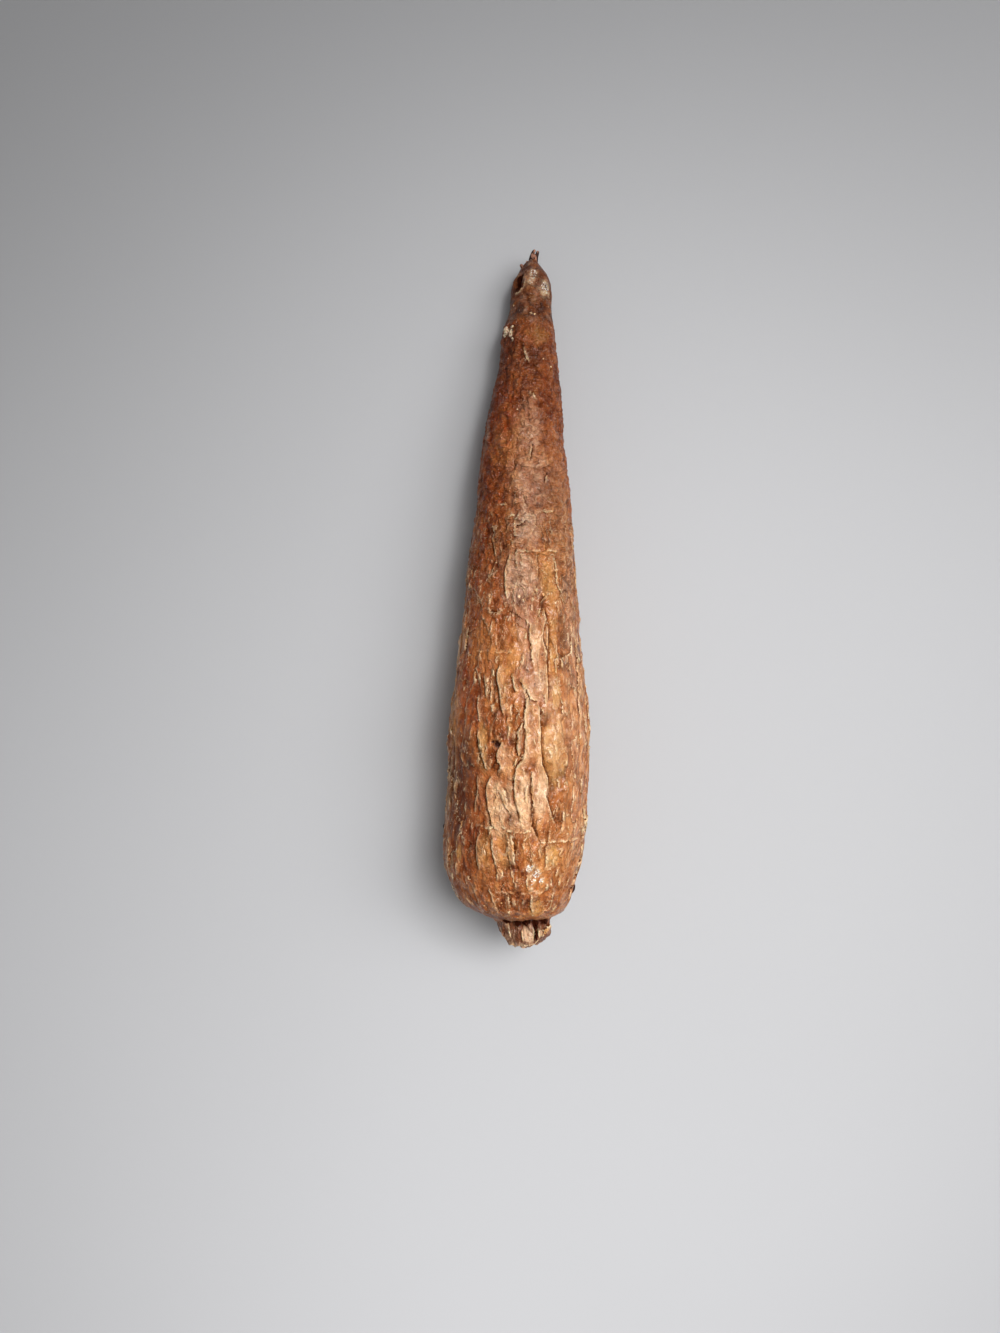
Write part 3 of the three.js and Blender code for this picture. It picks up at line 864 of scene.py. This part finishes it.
def shade_skin(bark):
    """The skin's tone, with painted light on its lumps, and the creases and furrows that darken it."""
    along, crinkled = bark.along, bark.crinkled
    creases = np.maximum(1 - np.abs(wobble(bark.crosswise, *GRAINS["creased"])) * 2.2, 0)
    pulled = bark.points + 1.6 * drift(bark.points, *GRAINS["pulled"])
    furrows = np.maximum(1 - np.abs(wobble(pulled, *GRAINS["furrowed"])) * 3.2, 0) ** 3
    bark.height += (0.15 + 0.4 * crinkled) * bark.body * creases ** 3
    bark.height -= 0.5 * crinkled * bark.facing * bark.body * furrows
    # painted light and shade: paler on the swellings and lumps that swell_bark raises, darker between
    tone = 0.5 + 0.45 * bark.layers["tone"] + (0.15 + 0.05 * crinkled) * bark.broad
    tone += 0.25 * bark.middling * (1 - crinkled) + (0.3 * bark.crumpled + 0.2 * bark.knobbly) * crinkled
    # painted shade in the sunken furrows; the raised creases are darkened too
    tone -= crinkled * (0.12 * creases ** 2 + 0.22 * furrows)
    # painted light on the shoulder's underside, turned from the lamps: paler below 24 mm, darker to 38 mm
    tone += 0.2 * (1 - smoothstep(15, 24, along)) - 0.08 * (1 - smoothstep(24, 38, along))
    tone += 0.1 * bell(along - 185, 24) - 0.1 * bell(along - 238, 16)
    bark.layers["tone"] = np.clip(tone, 0, 1)


def tint_skin(bark):
    """Colours of the sides, the underside and the cap, round the listed patches."""
    along, turn = bark.along, bark.turn
    unseen = smoothstep(1.0, 1.4, np.abs(turn))
    seen = 1 - unseen
    left = smoothstep(0.1, 0.9, -turn) * seen
    right = smoothstep(0.2, 0.9, turn) * seen
    far_right = smoothstep(0.7, 1.0, turn) * seen
    tip_right = smoothstep(0.2, 0.8, turn) * seen * bark.crinkled
    cap = smoothstep(264, 268, along)
    mottled = bark.grain("mottled")
    hazy = 0.8 + 0.6 * mottled
    bare = smoothstep(0.15, 0.55, mottled + 0.3 * bark.frayed)
    yellow = smoothstep(0.1, 0.5, bark.broad + 0.3 * bark.frayed)
    # the left flank, which turns away from the lamps, gets painted shade as darker red-brown skin
    red = 0.35 * smoothstep(150, 215, along) + 0.7 * left * smoothstep(15, 40, along)
    bark.cover("flaked", 0.8 * unseen * bare * between(30, 60, 120, 185, along))
    bark.cover("ochre", (0.22 + 0.78 * unseen) * 0.7 * yellow * between(20, 40, 130, 180, along))
    bark.cover("ochre", 0.22 * right * (0.9 + 0.4 * mottled) * between(15, 40, 180, 225, along))
    bark.cover("rust", red * (0.8 + 0.4 * mottled) * (1 - cap))
    # painted sheen on the right side and on the right of the thin end
    bark.cover("bloom", 0.4 * far_right * hazy * between(30, 50, 150, 200, along))
    bark.cover("bloom", 0.22 * tip_right * hazy * (1 - smoothstep(195, 225, along)))
    bark.cover("bloom", 0.4 * cap * smoothstep(0.05, 0.5, bark.grain("cap haze") + 0.3 * bark.frayed))
    bark.cover("bruise", 0.8 * cap)
    bark.layers["bruise"] *= 1 - 0.9 * cap * bark.layers["bloom"]
    bark.cover("bruise", 0.3 * smoothstep(195, 260, along))
    bark.cover("bruise", 0.6 * unseen * smoothstep(0.25, 0.6, bark.grain("damp")))


def bare_neck(bark):
    """The neck's wood: strands along it, and end grain round a small dark pith."""
    along, layers = bark.along, bark.layers
    away = np.hypot(bark.points[:, 0] - NECK_AXIS[0], bark.points[:, 2] - NECK_AXIS[1])
    wood = (1 - smoothstep(11.8, 14.5, along)) * (1 - smoothstep(11, 13.5, away))
    layers["wood"] = wood
    bark.height *= (1 - wood) * (0.7 + 0.3 * bark.body)
    for layer in ("cut", "rim", "grown", "flaked"):
        layers[layer] *= 1 - wood
    bark.gap[wood > 0.2] = np.inf
    bark.settled[:] = np.inf
    end = (1 - smoothstep(5.5, 8.5, away)) * (1 - smoothstep(3, 4.6, along))
    end_grain = bark.grain("end grain")
    bark.height += wood * (0.7 * bark.grain("strands") + 0.4 * bark.grain("fine strands"))
    bark.height += end * (0.7 * end_grain + 0.3 * bark.grain("fine end grain"))
    bark.cover("flaked", end * (0.55 + 0.7 * end_grain) * (1 - bell(away, 1.4)))
    # the small pith at the neck's end takes the dark colour of the painted shade
    bark.cover("crevice", 0.6 * end * bell(away, 0.9))


def grow_bark(surface, points, settings):
    """The whole bark. The order matters: a later mark lies over an earlier one."""
    bark = Bark(surface, points)
    shelf = settings.shelf / MM
    swell_bark(bark, settings)
    bark.paint(PATCHES)
    grown, calm = spread_growth(bark)
    cut_plates(bark, shelf)
    tear_sheets(bark, grown, calm)
    shade_skin(bark)
    tint_skin(bark)
    for path, *looks in grown_cracks(random.Random(BARK_SEED)):
        bark.crack(path, *looks, shelf * (0.8 if len(path) > 4 else 0.35))
    # pits sink, with painted shade at their bottoms and a pale rim
    for across, along, radius, depth in PITS:
        bark.spot(across, along, radius, -depth, "crevice", PIT_RIM)
    bare_neck(bark)
    bark.paint(NECK_PATCHES)
    # hollows sink, with painted shade at their bottoms
    for across, along, radius, depth in HOLLOWS:
        bark.spot(across, along, radius, -depth, "crevice")
    for path, *looks in NECK_EDGES:
        bark.crack([bark.place(*point) for point in path], *looks, shelf)
    # painted glints: small raised dots in the cream colour of the lips
    for across, along, radius in GLINT_SPECKS:
        bark.spot(across, along, radius, GLINT_SPECK_RISE, "lip")
    return bark


def layer_groups():
    """The layers three by three, with the name that each three is stored under."""
    for number in range(0, len(LAYERS), 3):
        yield f"layers_{number // 3 + 1}", LAYERS[number : number + 3]


def add_layers(piece, layers):
    for name, group in layer_groups():
        packed = np.stack([layers[layer] for layer in group], axis=1)
        attribute = piece.data.attributes.new(name, "FLOAT_VECTOR", "POINT")
        attribute.data.foreach_set("vector", np.clip(packed, 0, 1).astype(np.float32).ravel())


# ---------------------------------------------------------------- materials
# Kinds of node: Blender's name for each, and its settings.
PLACE = ("ShaderNodeTexCoord", {})
MAPPING = ("ShaderNodeMapping", {})
STORED = ("ShaderNodeAttribute", {})
SPLIT = ("ShaderNodeSeparateXYZ", {})
NOISE = ("ShaderNodeTexNoise", {})
BUMP = ("ShaderNodeBump", {})
SHADER = ("ShaderNodeBsdfPrincipled", {})
SURFACE = ("ShaderNodeOutputMaterial", {})
# amount, then what is there where it is 0 and where it is 1
BLEND = ("ShaderNodeMix", {"data_type": "RGBA"})
BLEND_PLACES = ("ShaderNodeMix", {"data_type": "VECTOR"})
# value, from low and high, to low and high, which are 0 and 1 if they aren't given
RAMP = ("ShaderNodeMapRange", {"interpolation_type": "SMOOTHSTEP"})
PLUS = ("ShaderNodeMath", {"operation": "ADD"})
MINUS = ("ShaderNodeMath", {"operation": "SUBTRACT"})
TIMES = ("ShaderNodeMath", {"operation": "MULTIPLY"})
TIMES_PLUS = ("ShaderNodeMath", {"operation": "MULTIPLY_ADD"})
LARGER = ("ShaderNodeMath", {"operation": "MAXIMUM"})
SIZE = ("ShaderNodeMath", {"operation": "ABSOLUTE"})
# middle value of a noise
MIDDLE = 0.5


def add_node(tree, kind, *values, **more):
    """Adds a node of a kind. Values go to its inputs in order. More are inputs by name, with a
    capital and _ for a space, or settings. A value may be a number, a colour, an output, or a node,
    which stands for its first output."""
    name, settings = kind
    node = tree.nodes.new(name)
    named = {key.replace("_", " "): value for key, value in more.items() if key[0].isupper()}
    for key, value in {**settings, **more}.items():
        if key[0].islower():
            setattr(node, key, value)
    sockets = [socket for socket in node.inputs if socket.enabled]
    fed = list(zip(sockets, values)) + [(node.inputs[key], value) for key, value in named.items()]
    for socket, value in fed:
        if isinstance(value, bpy.types.Node):
            value = next(output for output in value.outputs if output.enabled)
        if isinstance(value, bpy.types.NodeSocket):
            tree.links.new(value, socket)
        else:
            socket.default_value = value
    return node


def new_material(name):
    """An empty material, and add_node for its own tree."""
    material = bpy.data.materials.new(name)
    material.use_nodes = True
    material.node_tree.nodes.clear()
    return material, partial(add_node, material.node_tree)


def edge_bands(add, stored, ragged, width, shadow):
    """What an edge shows, from a stored distance that the ragged noise moves by fractions of a
    millimetre: the sheet, its pale rim, the dark line of painted shadow outside it, and the softer
    painted shade outside and painted light inside that run on for two millimetres."""
    distance = add(TIMES_PLUS, stored, 2 * EDGE_REACH, -EDGE_REACH)
    distance = add(TIMES_PLUS, add(MINUS, ragged, MIDDLE), 1.6, distance)
    sheet = add(RAMP, distance, -0.05, 0.12)
    outside = add(RAMP, distance, -0.12, 0.06, 1.0, 0.0)
    return {
        "distance": distance,
        "sheet": sheet,
        "rim": add(TIMES, sheet, add(RAMP, distance, 0.4 * width, width, 1.0, 0.0)),
        "line": add(TIMES, add(RAMP, distance, -shadow, -0.4 * shadow), outside),
        "edge_shade": add(TIMES, add(RAMP, distance, -1.8, -0.2), add(MINUS, 1.0, sheet)),
        "glow": add(TIMES, sheet, add(RAMP, distance, 0.3, 2.0, 1.0, 0.0)),
    }


def bark_material(settings):
    """Waxed cork: thin brown skin that tears in sheets along the root, under a coat of food wax
    that fills the fine grain and gives it a soft, broken shine."""
    material, add = new_material("waxed_bark")
    place = add(PLACE).outputs["Object"]
    masks = {}
    for name, group in layer_groups():
        parts = add(SPLIT, add(STORED, attribute_name=name).outputs["Vector"])
        masks.update(zip(group, parts.outputs))
    crinkled = masks["crinkled"]
    grown = masks["grown"]
    # the pattern is longer along the root, and on the crinkled skin of the thin end across it
    along_grain = add(MAPPING, place, Scale=(1, 0.75, 1))
    cross_grain = add(MAPPING, place, Scale=(0.9, 1.15, 0.9))
    towards_tip = add(RAMP, add(SPLIT, place).outputs["Y"], -0.03, 0.032)
    grain = add(BLEND_PLACES, towards_tip, along_grain, cross_grain)
    # mottling of 6 mm, blotches of 2.5 mm, ragged edges of 0.8 mm, crumbs and painted glints of
    # 0.6 mm, and fibres 1.1 mm wide and 5 mm long
    mottle = add(NOISE, grain, Scale=170.0, Detail=3.0)
    blotch = add(NOISE, grain, Scale=400.0, Detail=4.0)
    ragged = add(NOISE, grain, Scale=1200.0, Detail=2.0)
    crumb = add(NOISE, place, Scale=1600.0, Detail=2.0)
    fibres = add(NOISE, add(MAPPING, place, Scale=(1, 0.22, 1)), Scale=900.0, Detail=3.0)
    # creases: lines where a noise of 3 mm, and one of 1.4 mm, pass through their middle value
    folds = add(NOISE, grain, Scale=330.0, Detail=2.0, Distortion=0.6)
    fine_folds = add(NOISE, grain, Scale=720.0, Detail=2.0, Distortion=0.6)
    crease = add(RAMP, add(SIZE, add(MINUS, folds, MIDDLE)), 0.0, 0.05, 1.0, 0.0)
    fine_crease = add(RAMP, add(SIZE, add(MINUS, fine_folds, MIDDLE)), 0.0, 0.06, 1.0, 0.0)

    # the plates' own edges, then those of the sheets, each where it shows most
    bands = edge_bands(add, masks["edge"], ragged, 0.95, 0.85)
    rims = add(TIMES, bands["rim"], masks["rim"])
    # painted shadow in a dark line outside each edge, softer painted shade beyond it, painted light inside
    shadow_lines = add(TIMES, bands["line"], masks["cut"])
    edge_shades = add(TIMES, bands["edge_shade"], masks["cut"])
    glows = add(TIMES, bands["glow"], masks["rim"])
    height = add(MINUS, add(TIMES, rims, 0.35), add(TIMES, shadow_lines, 0.3))
    bare = 0.0
    for size, torn in SHEETS.items():
        thickness = torn["thickness"]
        left = masks["left_" + size]
        bands = edge_bands(add, masks["sheet_" + size], ragged, 0.3 + thickness, 0.6)
        rim = add(TIMES, bands["rim"], left)
        # painted shadow in the line beside the sheets' edges, stronger on the left-facing ones
        line = add(TIMES, add(TIMES, bands["line"], add(TIMES_PLUS, left, 0.6, 0.25)), grown)
        rims = add(LARGER, rims, add(TIMES, rim, 0.5 + thickness))
        shadow_lines = add(LARGER, shadow_lines, add(TIMES, line, 0.25 + thickness))
        if size != "small":
            # painted shade outside the edges of the larger sheets, painted light inside their left-facing
            # ones
            edge_shade = add(TIMES, bands["edge_shade"], grown)
            glow = add(TIMES, bands["glow"], left)
            edge_shades = add(LARGER, edge_shades, add(TIMES, edge_shade, 0.5))
            glows = add(LARGER, glows, add(TIMES, glow, 0.8))
        step = add(TIMES, add(RAMP, bands["distance"], -0.3, 0.4), grown)
        height = add(TIMES_PLUS, step, 1.3 * thickness, height)
        height = add(TIMES_PLUS, rim, 0.6 * thickness, height)
        missing = add(MINUS, grown, add(TIMES, bands["sheet"], grown))
        bare = add(TIMES_PLUS, missing, torn["pale"], bare)

    # shade of the skin, dark to pale, then the coloured layers over it
    shade = add(TIMES_PLUS, add(MINUS, mottle, MIDDLE), add(TIMES_PLUS, crinkled, -0.6, 1.3), masks["tone"])
    shade = add(TIMES_PLUS, add(MINUS, blotch, MIDDLE), add(TIMES_PLUS, crinkled, -0.9, 1.5), shade)
    strokes = add(TIMES, add(MINUS, fibres, MIDDLE), add(TIMES_PLUS, grown, 0.8, crinkled))
    shade = add(TIMES_PLUS, strokes, 0.9, add(PLUS, shade, bare))
    skin = add(BLEND, add(RAMP, shade, 0.1, 0.5), settings.skin_dark, settings.skin)
    skin = add(BLEND, add(RAMP, shade, 0.5, 0.95), skin, settings.skin_pale)
    patchy = add(TIMES_PLUS, folds, 0.6, add(TIMES, blotch, 0.4))
    uneven = add(RAMP, patchy, 0.38, 0.62, 0.55, 1.1)
    for layer in ("rust", "ochre", "flaked", "bloom", "bruise"):
        skin = add(BLEND, add(TIMES, masks[layer], uneven), skin, getattr(settings, layer))
    strand = add(TIMES_PLUS, add(MINUS, fibres, MIDDLE), 2.0, masks["flaked"])
    wood = add(BLEND, add(RAMP, strand, -0.1, 1.0), settings.wood_dark, settings.wood)
    lips = add(BLEND, add(RAMP, blotch, 0.36, 0.5), settings.lip_warm, settings.lip)
    # painted shade in the wrinkled skin's folds and painted light on their ridges, following the bump
    fold_shade = add(TIMES, add(RAMP, folds, 0.3, 0.52, 0.3, 0.0), crinkled)
    ridge = add(TIMES, add(RAMP, folds, 0.48, 0.74, 0.0, 0.5), masks["bloom"])
    smooth = add(LARGER, masks["flaked"], masks["bloom"])
    # how much painted shade the creases get: more on the wrinkled end, less on flaked and hazy skin
    creased = add(TIMES, add(TIMES_PLUS, crinkled, 0.12, 0.12), add(TIMES_PLUS, smooth, -0.6, 1.0))
    wrinkled = add(TIMES_PLUS, masks["flaked"], 0.2, 0.05)
    broken = add(RAMP, ragged, 0.38, 0.56, 0.55, 1.4)
    # painted glints: cream dots where the crumb noise peaks, and the lip layer's dots broken by it
    sprinkled_glints = add(TIMES, add(TIMES_PLUS, grown, 0.4, 0.3), add(RAMP, crumb, 0.65, 0.72))
    glint_specks = add(TIMES_PLUS, crumb, 1.3, masks["lip"])
    waxed_over = add(TIMES, masks["mould"], add(RAMP, blotch, 0.44, 0.6, 0.05, 0.75))
    white_crumbs = add(TIMES_PLUS, crumb, 1.2, masks["mould"])
    for amount, colour in (
        (masks["wood"], wood),
        # painted shade in the folds of the wrinkled skin, then painted light on their ridges
        (fold_shade, settings.skin_dark),
        (add(TIMES, ridge, crinkled), settings.flaked),
        # painted shade outside the edges, then painted light inside them
        (add(TIMES, edge_shades, 0.7), settings.skin_dark),
        (add(TIMES, glows, 0.45), settings.flaked),
        # painted shade in the creases that the bump sinks
        (add(TIMES, crease, wrinkled), settings.skin),
        (add(TIMES, crease, creased), settings.skin_dark),
        (add(TIMES, fine_crease, creased), settings.skin_dark),
        # painted shadow in the dark line beside each edge
        (add(TIMES, shadow_lines, 0.85), settings.groove_shadow),
        (add(TIMES, rims, broken), lips),
        # painted glints
        (sprinkled_glints, settings.lip),
        (add(RAMP, glint_specks, 1.1, 1.3), lips),
        # painted shade at the bottom of pits and holes and under the shoulder
        (add(RAMP, masks["crevice"], 0.2, 0.8), settings.crevice),
        (waxed_over, settings.lip),
        (add(RAMP, white_crumbs, 1.3, 1.45), settings.mould),
    ):
        skin = add(BLEND, amount, skin, colour)

    # the wax follows the folds and fills what is finer, and the skin under it has all of it
    height = add(TIMES_PLUS, folds, add(TIMES_PLUS, crinkled, 2.8, 1.5), height)
    height = add(TIMES_PLUS, ragged, add(TIMES, crinkled, 0.55), height)
    waxed = add(BUMP, Strength=1.0, Distance=MM, Height=height)
    deep = add(TIMES_PLUS, crinkled, -0.14, -0.08)
    for grit, size in (
        (blotch, 2.2), (crease, deep), (fine_crease, add(TIMES, deep, 0.6)), (crumb, 0.35),
        (fibres, masks["wood"]),
    ):
        height = add(TIMES_PLUS, grit, size, height)
    bump = add(BUMP, Strength=1.0, Distance=MM, Height=height)
    # the cracks hold dust in place of wax
    dry = add(LARGER, add(LARGER, shadow_lines, edge_shades), masks["crevice"])
    waxy = add(MINUS, 1.0, dry, use_clamp=True)
    dull = add(PLUS, masks["bruise"], masks["mould"], use_clamp=True)
    gloss = add(TIMES, add(RAMP, blotch, 0.4, 0.6, 0.15, 1.0), waxy)
    gloss = add(TIMES, gloss, add(TIMES_PLUS, dull, -0.5, 1.0))
    rough = add(TIMES_PLUS, masks["crevice"], 0.3, add(RAMP, mottle, 0.3, 0.7, 0.4, 0.55))
    rough = add(TIMES_PLUS, masks["wood"], 0.3, rough, use_clamp=True)
    shader = add(
        SHADER, Base_Color=skin, Roughness=rough, Normal=bump, IOR=1.4,
        Specular_IOR_Level=add(TIMES, waxy, 0.18), Specular_Tint=(1.0, 0.8, 0.6, 1.0),
        Subsurface_Weight=0.12, Subsurface_Radius=(1.0, 0.4, 0.2), Subsurface_Scale=0.0015,
        Coat_Weight=gloss, Coat_Roughness=0.13, Coat_IOR=1.44, Coat_Normal=waxed,
    )
    add(SURFACE, shader)
    return material


def fibre_material(settings):
    """Dry root fibre: dull, dark and split along its length."""
    material, add = new_material("dry_fibre")
    lengthwise = add(MAPPING, add(PLACE).outputs["Object"], Scale=(1, 0.25, 1))
    # fibres 0.8 mm wide and 3 mm long
    grain = add(NOISE, lengthwise, Scale=1200.0, Detail=3.0)
    shade = add(BLEND, add(RAMP, grain, 0.5, 0.6), settings.fibre_dark, settings.fibre)
    bump = add(BUMP, Strength=0.7, Distance=0.3 * MM, Height=grain)
    add(SURFACE, add(SHADER, Base_Color=shade, Roughness=0.7, Normal=bump, Specular_IOR_Level=0.2))
    return material


def crumb_material(settings):
    """Dried wax: cream, chalky at its edges, and darker where its bump sinks."""
    material, add = new_material("dried_wax")
    # darker in hollows of 0.7 mm, where the bump sinks
    grain = add(NOISE, add(PLACE).outputs["Object"], Scale=1400.0, Detail=4.0)
    shade = add(BLEND, add(RAMP, grain, 0.38, 0.55), settings.crumb_dark, settings.crumb)
    bump = add(BUMP, Strength=0.8, Distance=0.4 * MM, Height=grain)
    shader = add(
        SHADER, Base_Color=shade, Roughness=0.5, Normal=bump, Subsurface_Weight=0.2, Subsurface_Scale=0.001,
    )
    add(SURFACE, shader)
    return material


def floor_material(settings):
    """Satin-painted board: flat colour with the faint mottling of a rolled coat of paint."""
    material, add = new_material("satin_paint")
    # clouds of a third of a metre
    cloud = add(NOISE, add(PLACE).outputs["Object"], Scale=3.0, Detail=2.0)
    shade = add(BLEND, add(RAMP, cloud, 0.3, 0.7, 0.0, 0.08), settings.floor, settings.floor_cloud)
    add(SURFACE, add(SHADER, Base_Color=shade, Roughness=0.6))
    return material


# ---------------------------------------------------------------- operators
class CASSAVA_OT_skin(bpy.types.Operator):
    """Adds the root's skin: body, shoulder and woody neck, with its flaking bark"""

    bl_idname = "cassava.skin"
    bl_label = "Add the skin"

    def execute(self, context):
        settings = context.scene.cassava_skin
        surface = Surface()
        piece = wrapped_grid("root_skin", skin_rings(surface))
        subdivide(piece, SUBDIVISIONS)
        bark = grow_bark(surface, points_of(piece.data), settings)
        raise_skin(piece, bark.height, floor=0)
        add_layers(piece, bark.layers)
        finish_piece(piece, bark_material(settings))
        return {"FINISHED"}


class CASSAVA_OT_tip(bpy.types.Operator):
    """Adds the dry fibres and thorns of the thin end, and the slivers of bark"""

    bl_idname = "cassava.tip"
    bl_label = "Add the fibres and slivers"

    def execute(self, context):
        material = fibre_material(context.scene.cassava_tip)
        surface = Surface()
        for name, stems in (("tip_fibres", TIP_STEMS), ("bark_slivers", SLIVERS)):
            parts = []
            for number, (path, radii) in enumerate(stems):
                z = surface.middle(path[0][1])[1]
                rings = sweep([(a, b, z + c) for a, b, c in path], radii)
                parts.append(wrapped_grid(f"stem_{number}", rings))
            piece = join_parts(parts, name)
            subdivide(piece, 1)
            raise_skin(piece, STEM_ROUGHNESS * wobble(points_of(piece.data), *GRAINS["dry stem"]))
            finish_piece(piece, material)
        return {"FINISHED"}


class CASSAVA_OT_crumbs(bpy.types.Operator):
    """Adds the crumbs of dried wax that cling to the skin"""

    bl_idname = "cassava.crumbs"
    bl_label = "Add the crumbs"

    def execute(self, context):
        surface = Surface()
        parts = []
        for number, (across, along, size, stretched, rise) in enumerate(CRUMBS):
            height = surface.height(across, along) + rise
            path = [(across, along - size * stretched * way, height) for way, _ in CRUMB_SHAPE]
            rings = sweep(path, [size * share for _, share in CRUMB_SHAPE])
            parts.append(wrapped_grid(f"crumb_{number}", rings))
        piece = join_parts(parts, "wax_crumbs")
        subdivide(piece, 1)
        raise_skin(piece, CRUMB_ROUGHNESS * wobble(points_of(piece.data), *GRAINS["crumbly"]))
        finish_piece(piece, crumb_material(context.scene.cassava_tip))
        return {"FINISHED"}


class CASSAVA_OT_stage(bpy.types.Operator):
    """Adds the floor, the lights and the camera"""

    bl_idname = "cassava.stage"
    bl_label = "Add the stage"

    def execute(self, context):
        settings = context.scene.cassava_stage
        deselect()
        bpy.ops.mesh.primitive_plane_add(size=settings.floor_size)
        floor = context.object
        floor.name = floor.data.name = "floor"
        floor.data.materials.append(floor_material(settings))
        world = bpy.data.worlds.new("soft_room")
        context.scene.world = world
        world.use_nodes = True
        background = world.node_tree.nodes["Background"]
        background.inputs["Color"].default_value = settings.room
        background.inputs["Strength"].default_value = ROOM_LIGHT
        for name, place, aim, radius, cone, power in LAMPS:
            bpy.ops.object.light_add(type="SPOT", location=place)
            lamp = context.object
            lamp.name = name
            lamp.data.energy = power
            lamp.data.shadow_soft_size = radius
            lamp.data.spot_size = math.radians(cone)
            lamp.data.spot_blend = 1.0
            toward = Vector(aim) - Vector(place)
            lamp.rotation_euler = toward.to_track_quat("-Z", "Y").to_euler()
        bpy.ops.object.camera_add(location=CAMERA_PLACE, rotation=(0, 0, 0))
        camera = context.object
        camera.data.lens = LENS
        camera.data.sensor_width = SENSOR
        camera.data.clip_start = CAMERA_NEAR
        context.scene.camera = camera
        context.scene.view_settings.view_transform = "Standard"
        return {"FINISHED"}


class CASSAVA_PT_panel(bpy.types.Panel):
    bl_idname = "CASSAVA_PT_panel"
    bl_label = "Cassava root"
    bl_space_type = "VIEW_3D"
    bl_region_type = "UI"
    bl_category = "Cassava"

    def draw(self, context):
        for operator, settings in (
            (CASSAVA_OT_skin, context.scene.cassava_skin),
            (CASSAVA_OT_tip, context.scene.cassava_tip),
            (CASSAVA_OT_crumbs, context.scene.cassava_tip),
            (CASSAVA_OT_stage, context.scene.cassava_stage),
        ):
            box = self.layout.box()
            for key in settings.__annotations__:
                box.prop(settings, key)
            box.operator(operator.bl_idname)


CLASSES = (
    CassavaSkin, CassavaTip, CassavaStage, CASSAVA_OT_skin, CASSAVA_OT_tip, CASSAVA_OT_crumbs,
    CASSAVA_OT_stage, CASSAVA_PT_panel,
)


def register():
    for item in CLASSES:
        bpy.utils.register_class(item)
    bpy.types.Scene.cassava_skin = bpy.props.PointerProperty(type=CassavaSkin)
    bpy.types.Scene.cassava_tip = bpy.props.PointerProperty(type=CassavaTip)
    bpy.types.Scene.cassava_stage = bpy.props.PointerProperty(type=CassavaStage)


def unregister():
    del bpy.types.Scene.cassava_stage
    del bpy.types.Scene.cassava_tip
    del bpy.types.Scene.cassava_skin
    for item in reversed(CLASSES):
        bpy.utils.unregister_class(item)


def main():
    register()
    bpy.ops.cassava.stage()
    bpy.ops.cassava.skin()
    bpy.ops.cassava.tip()
    bpy.ops.cassava.crumbs()


if __name__ == "__main__":
    main()
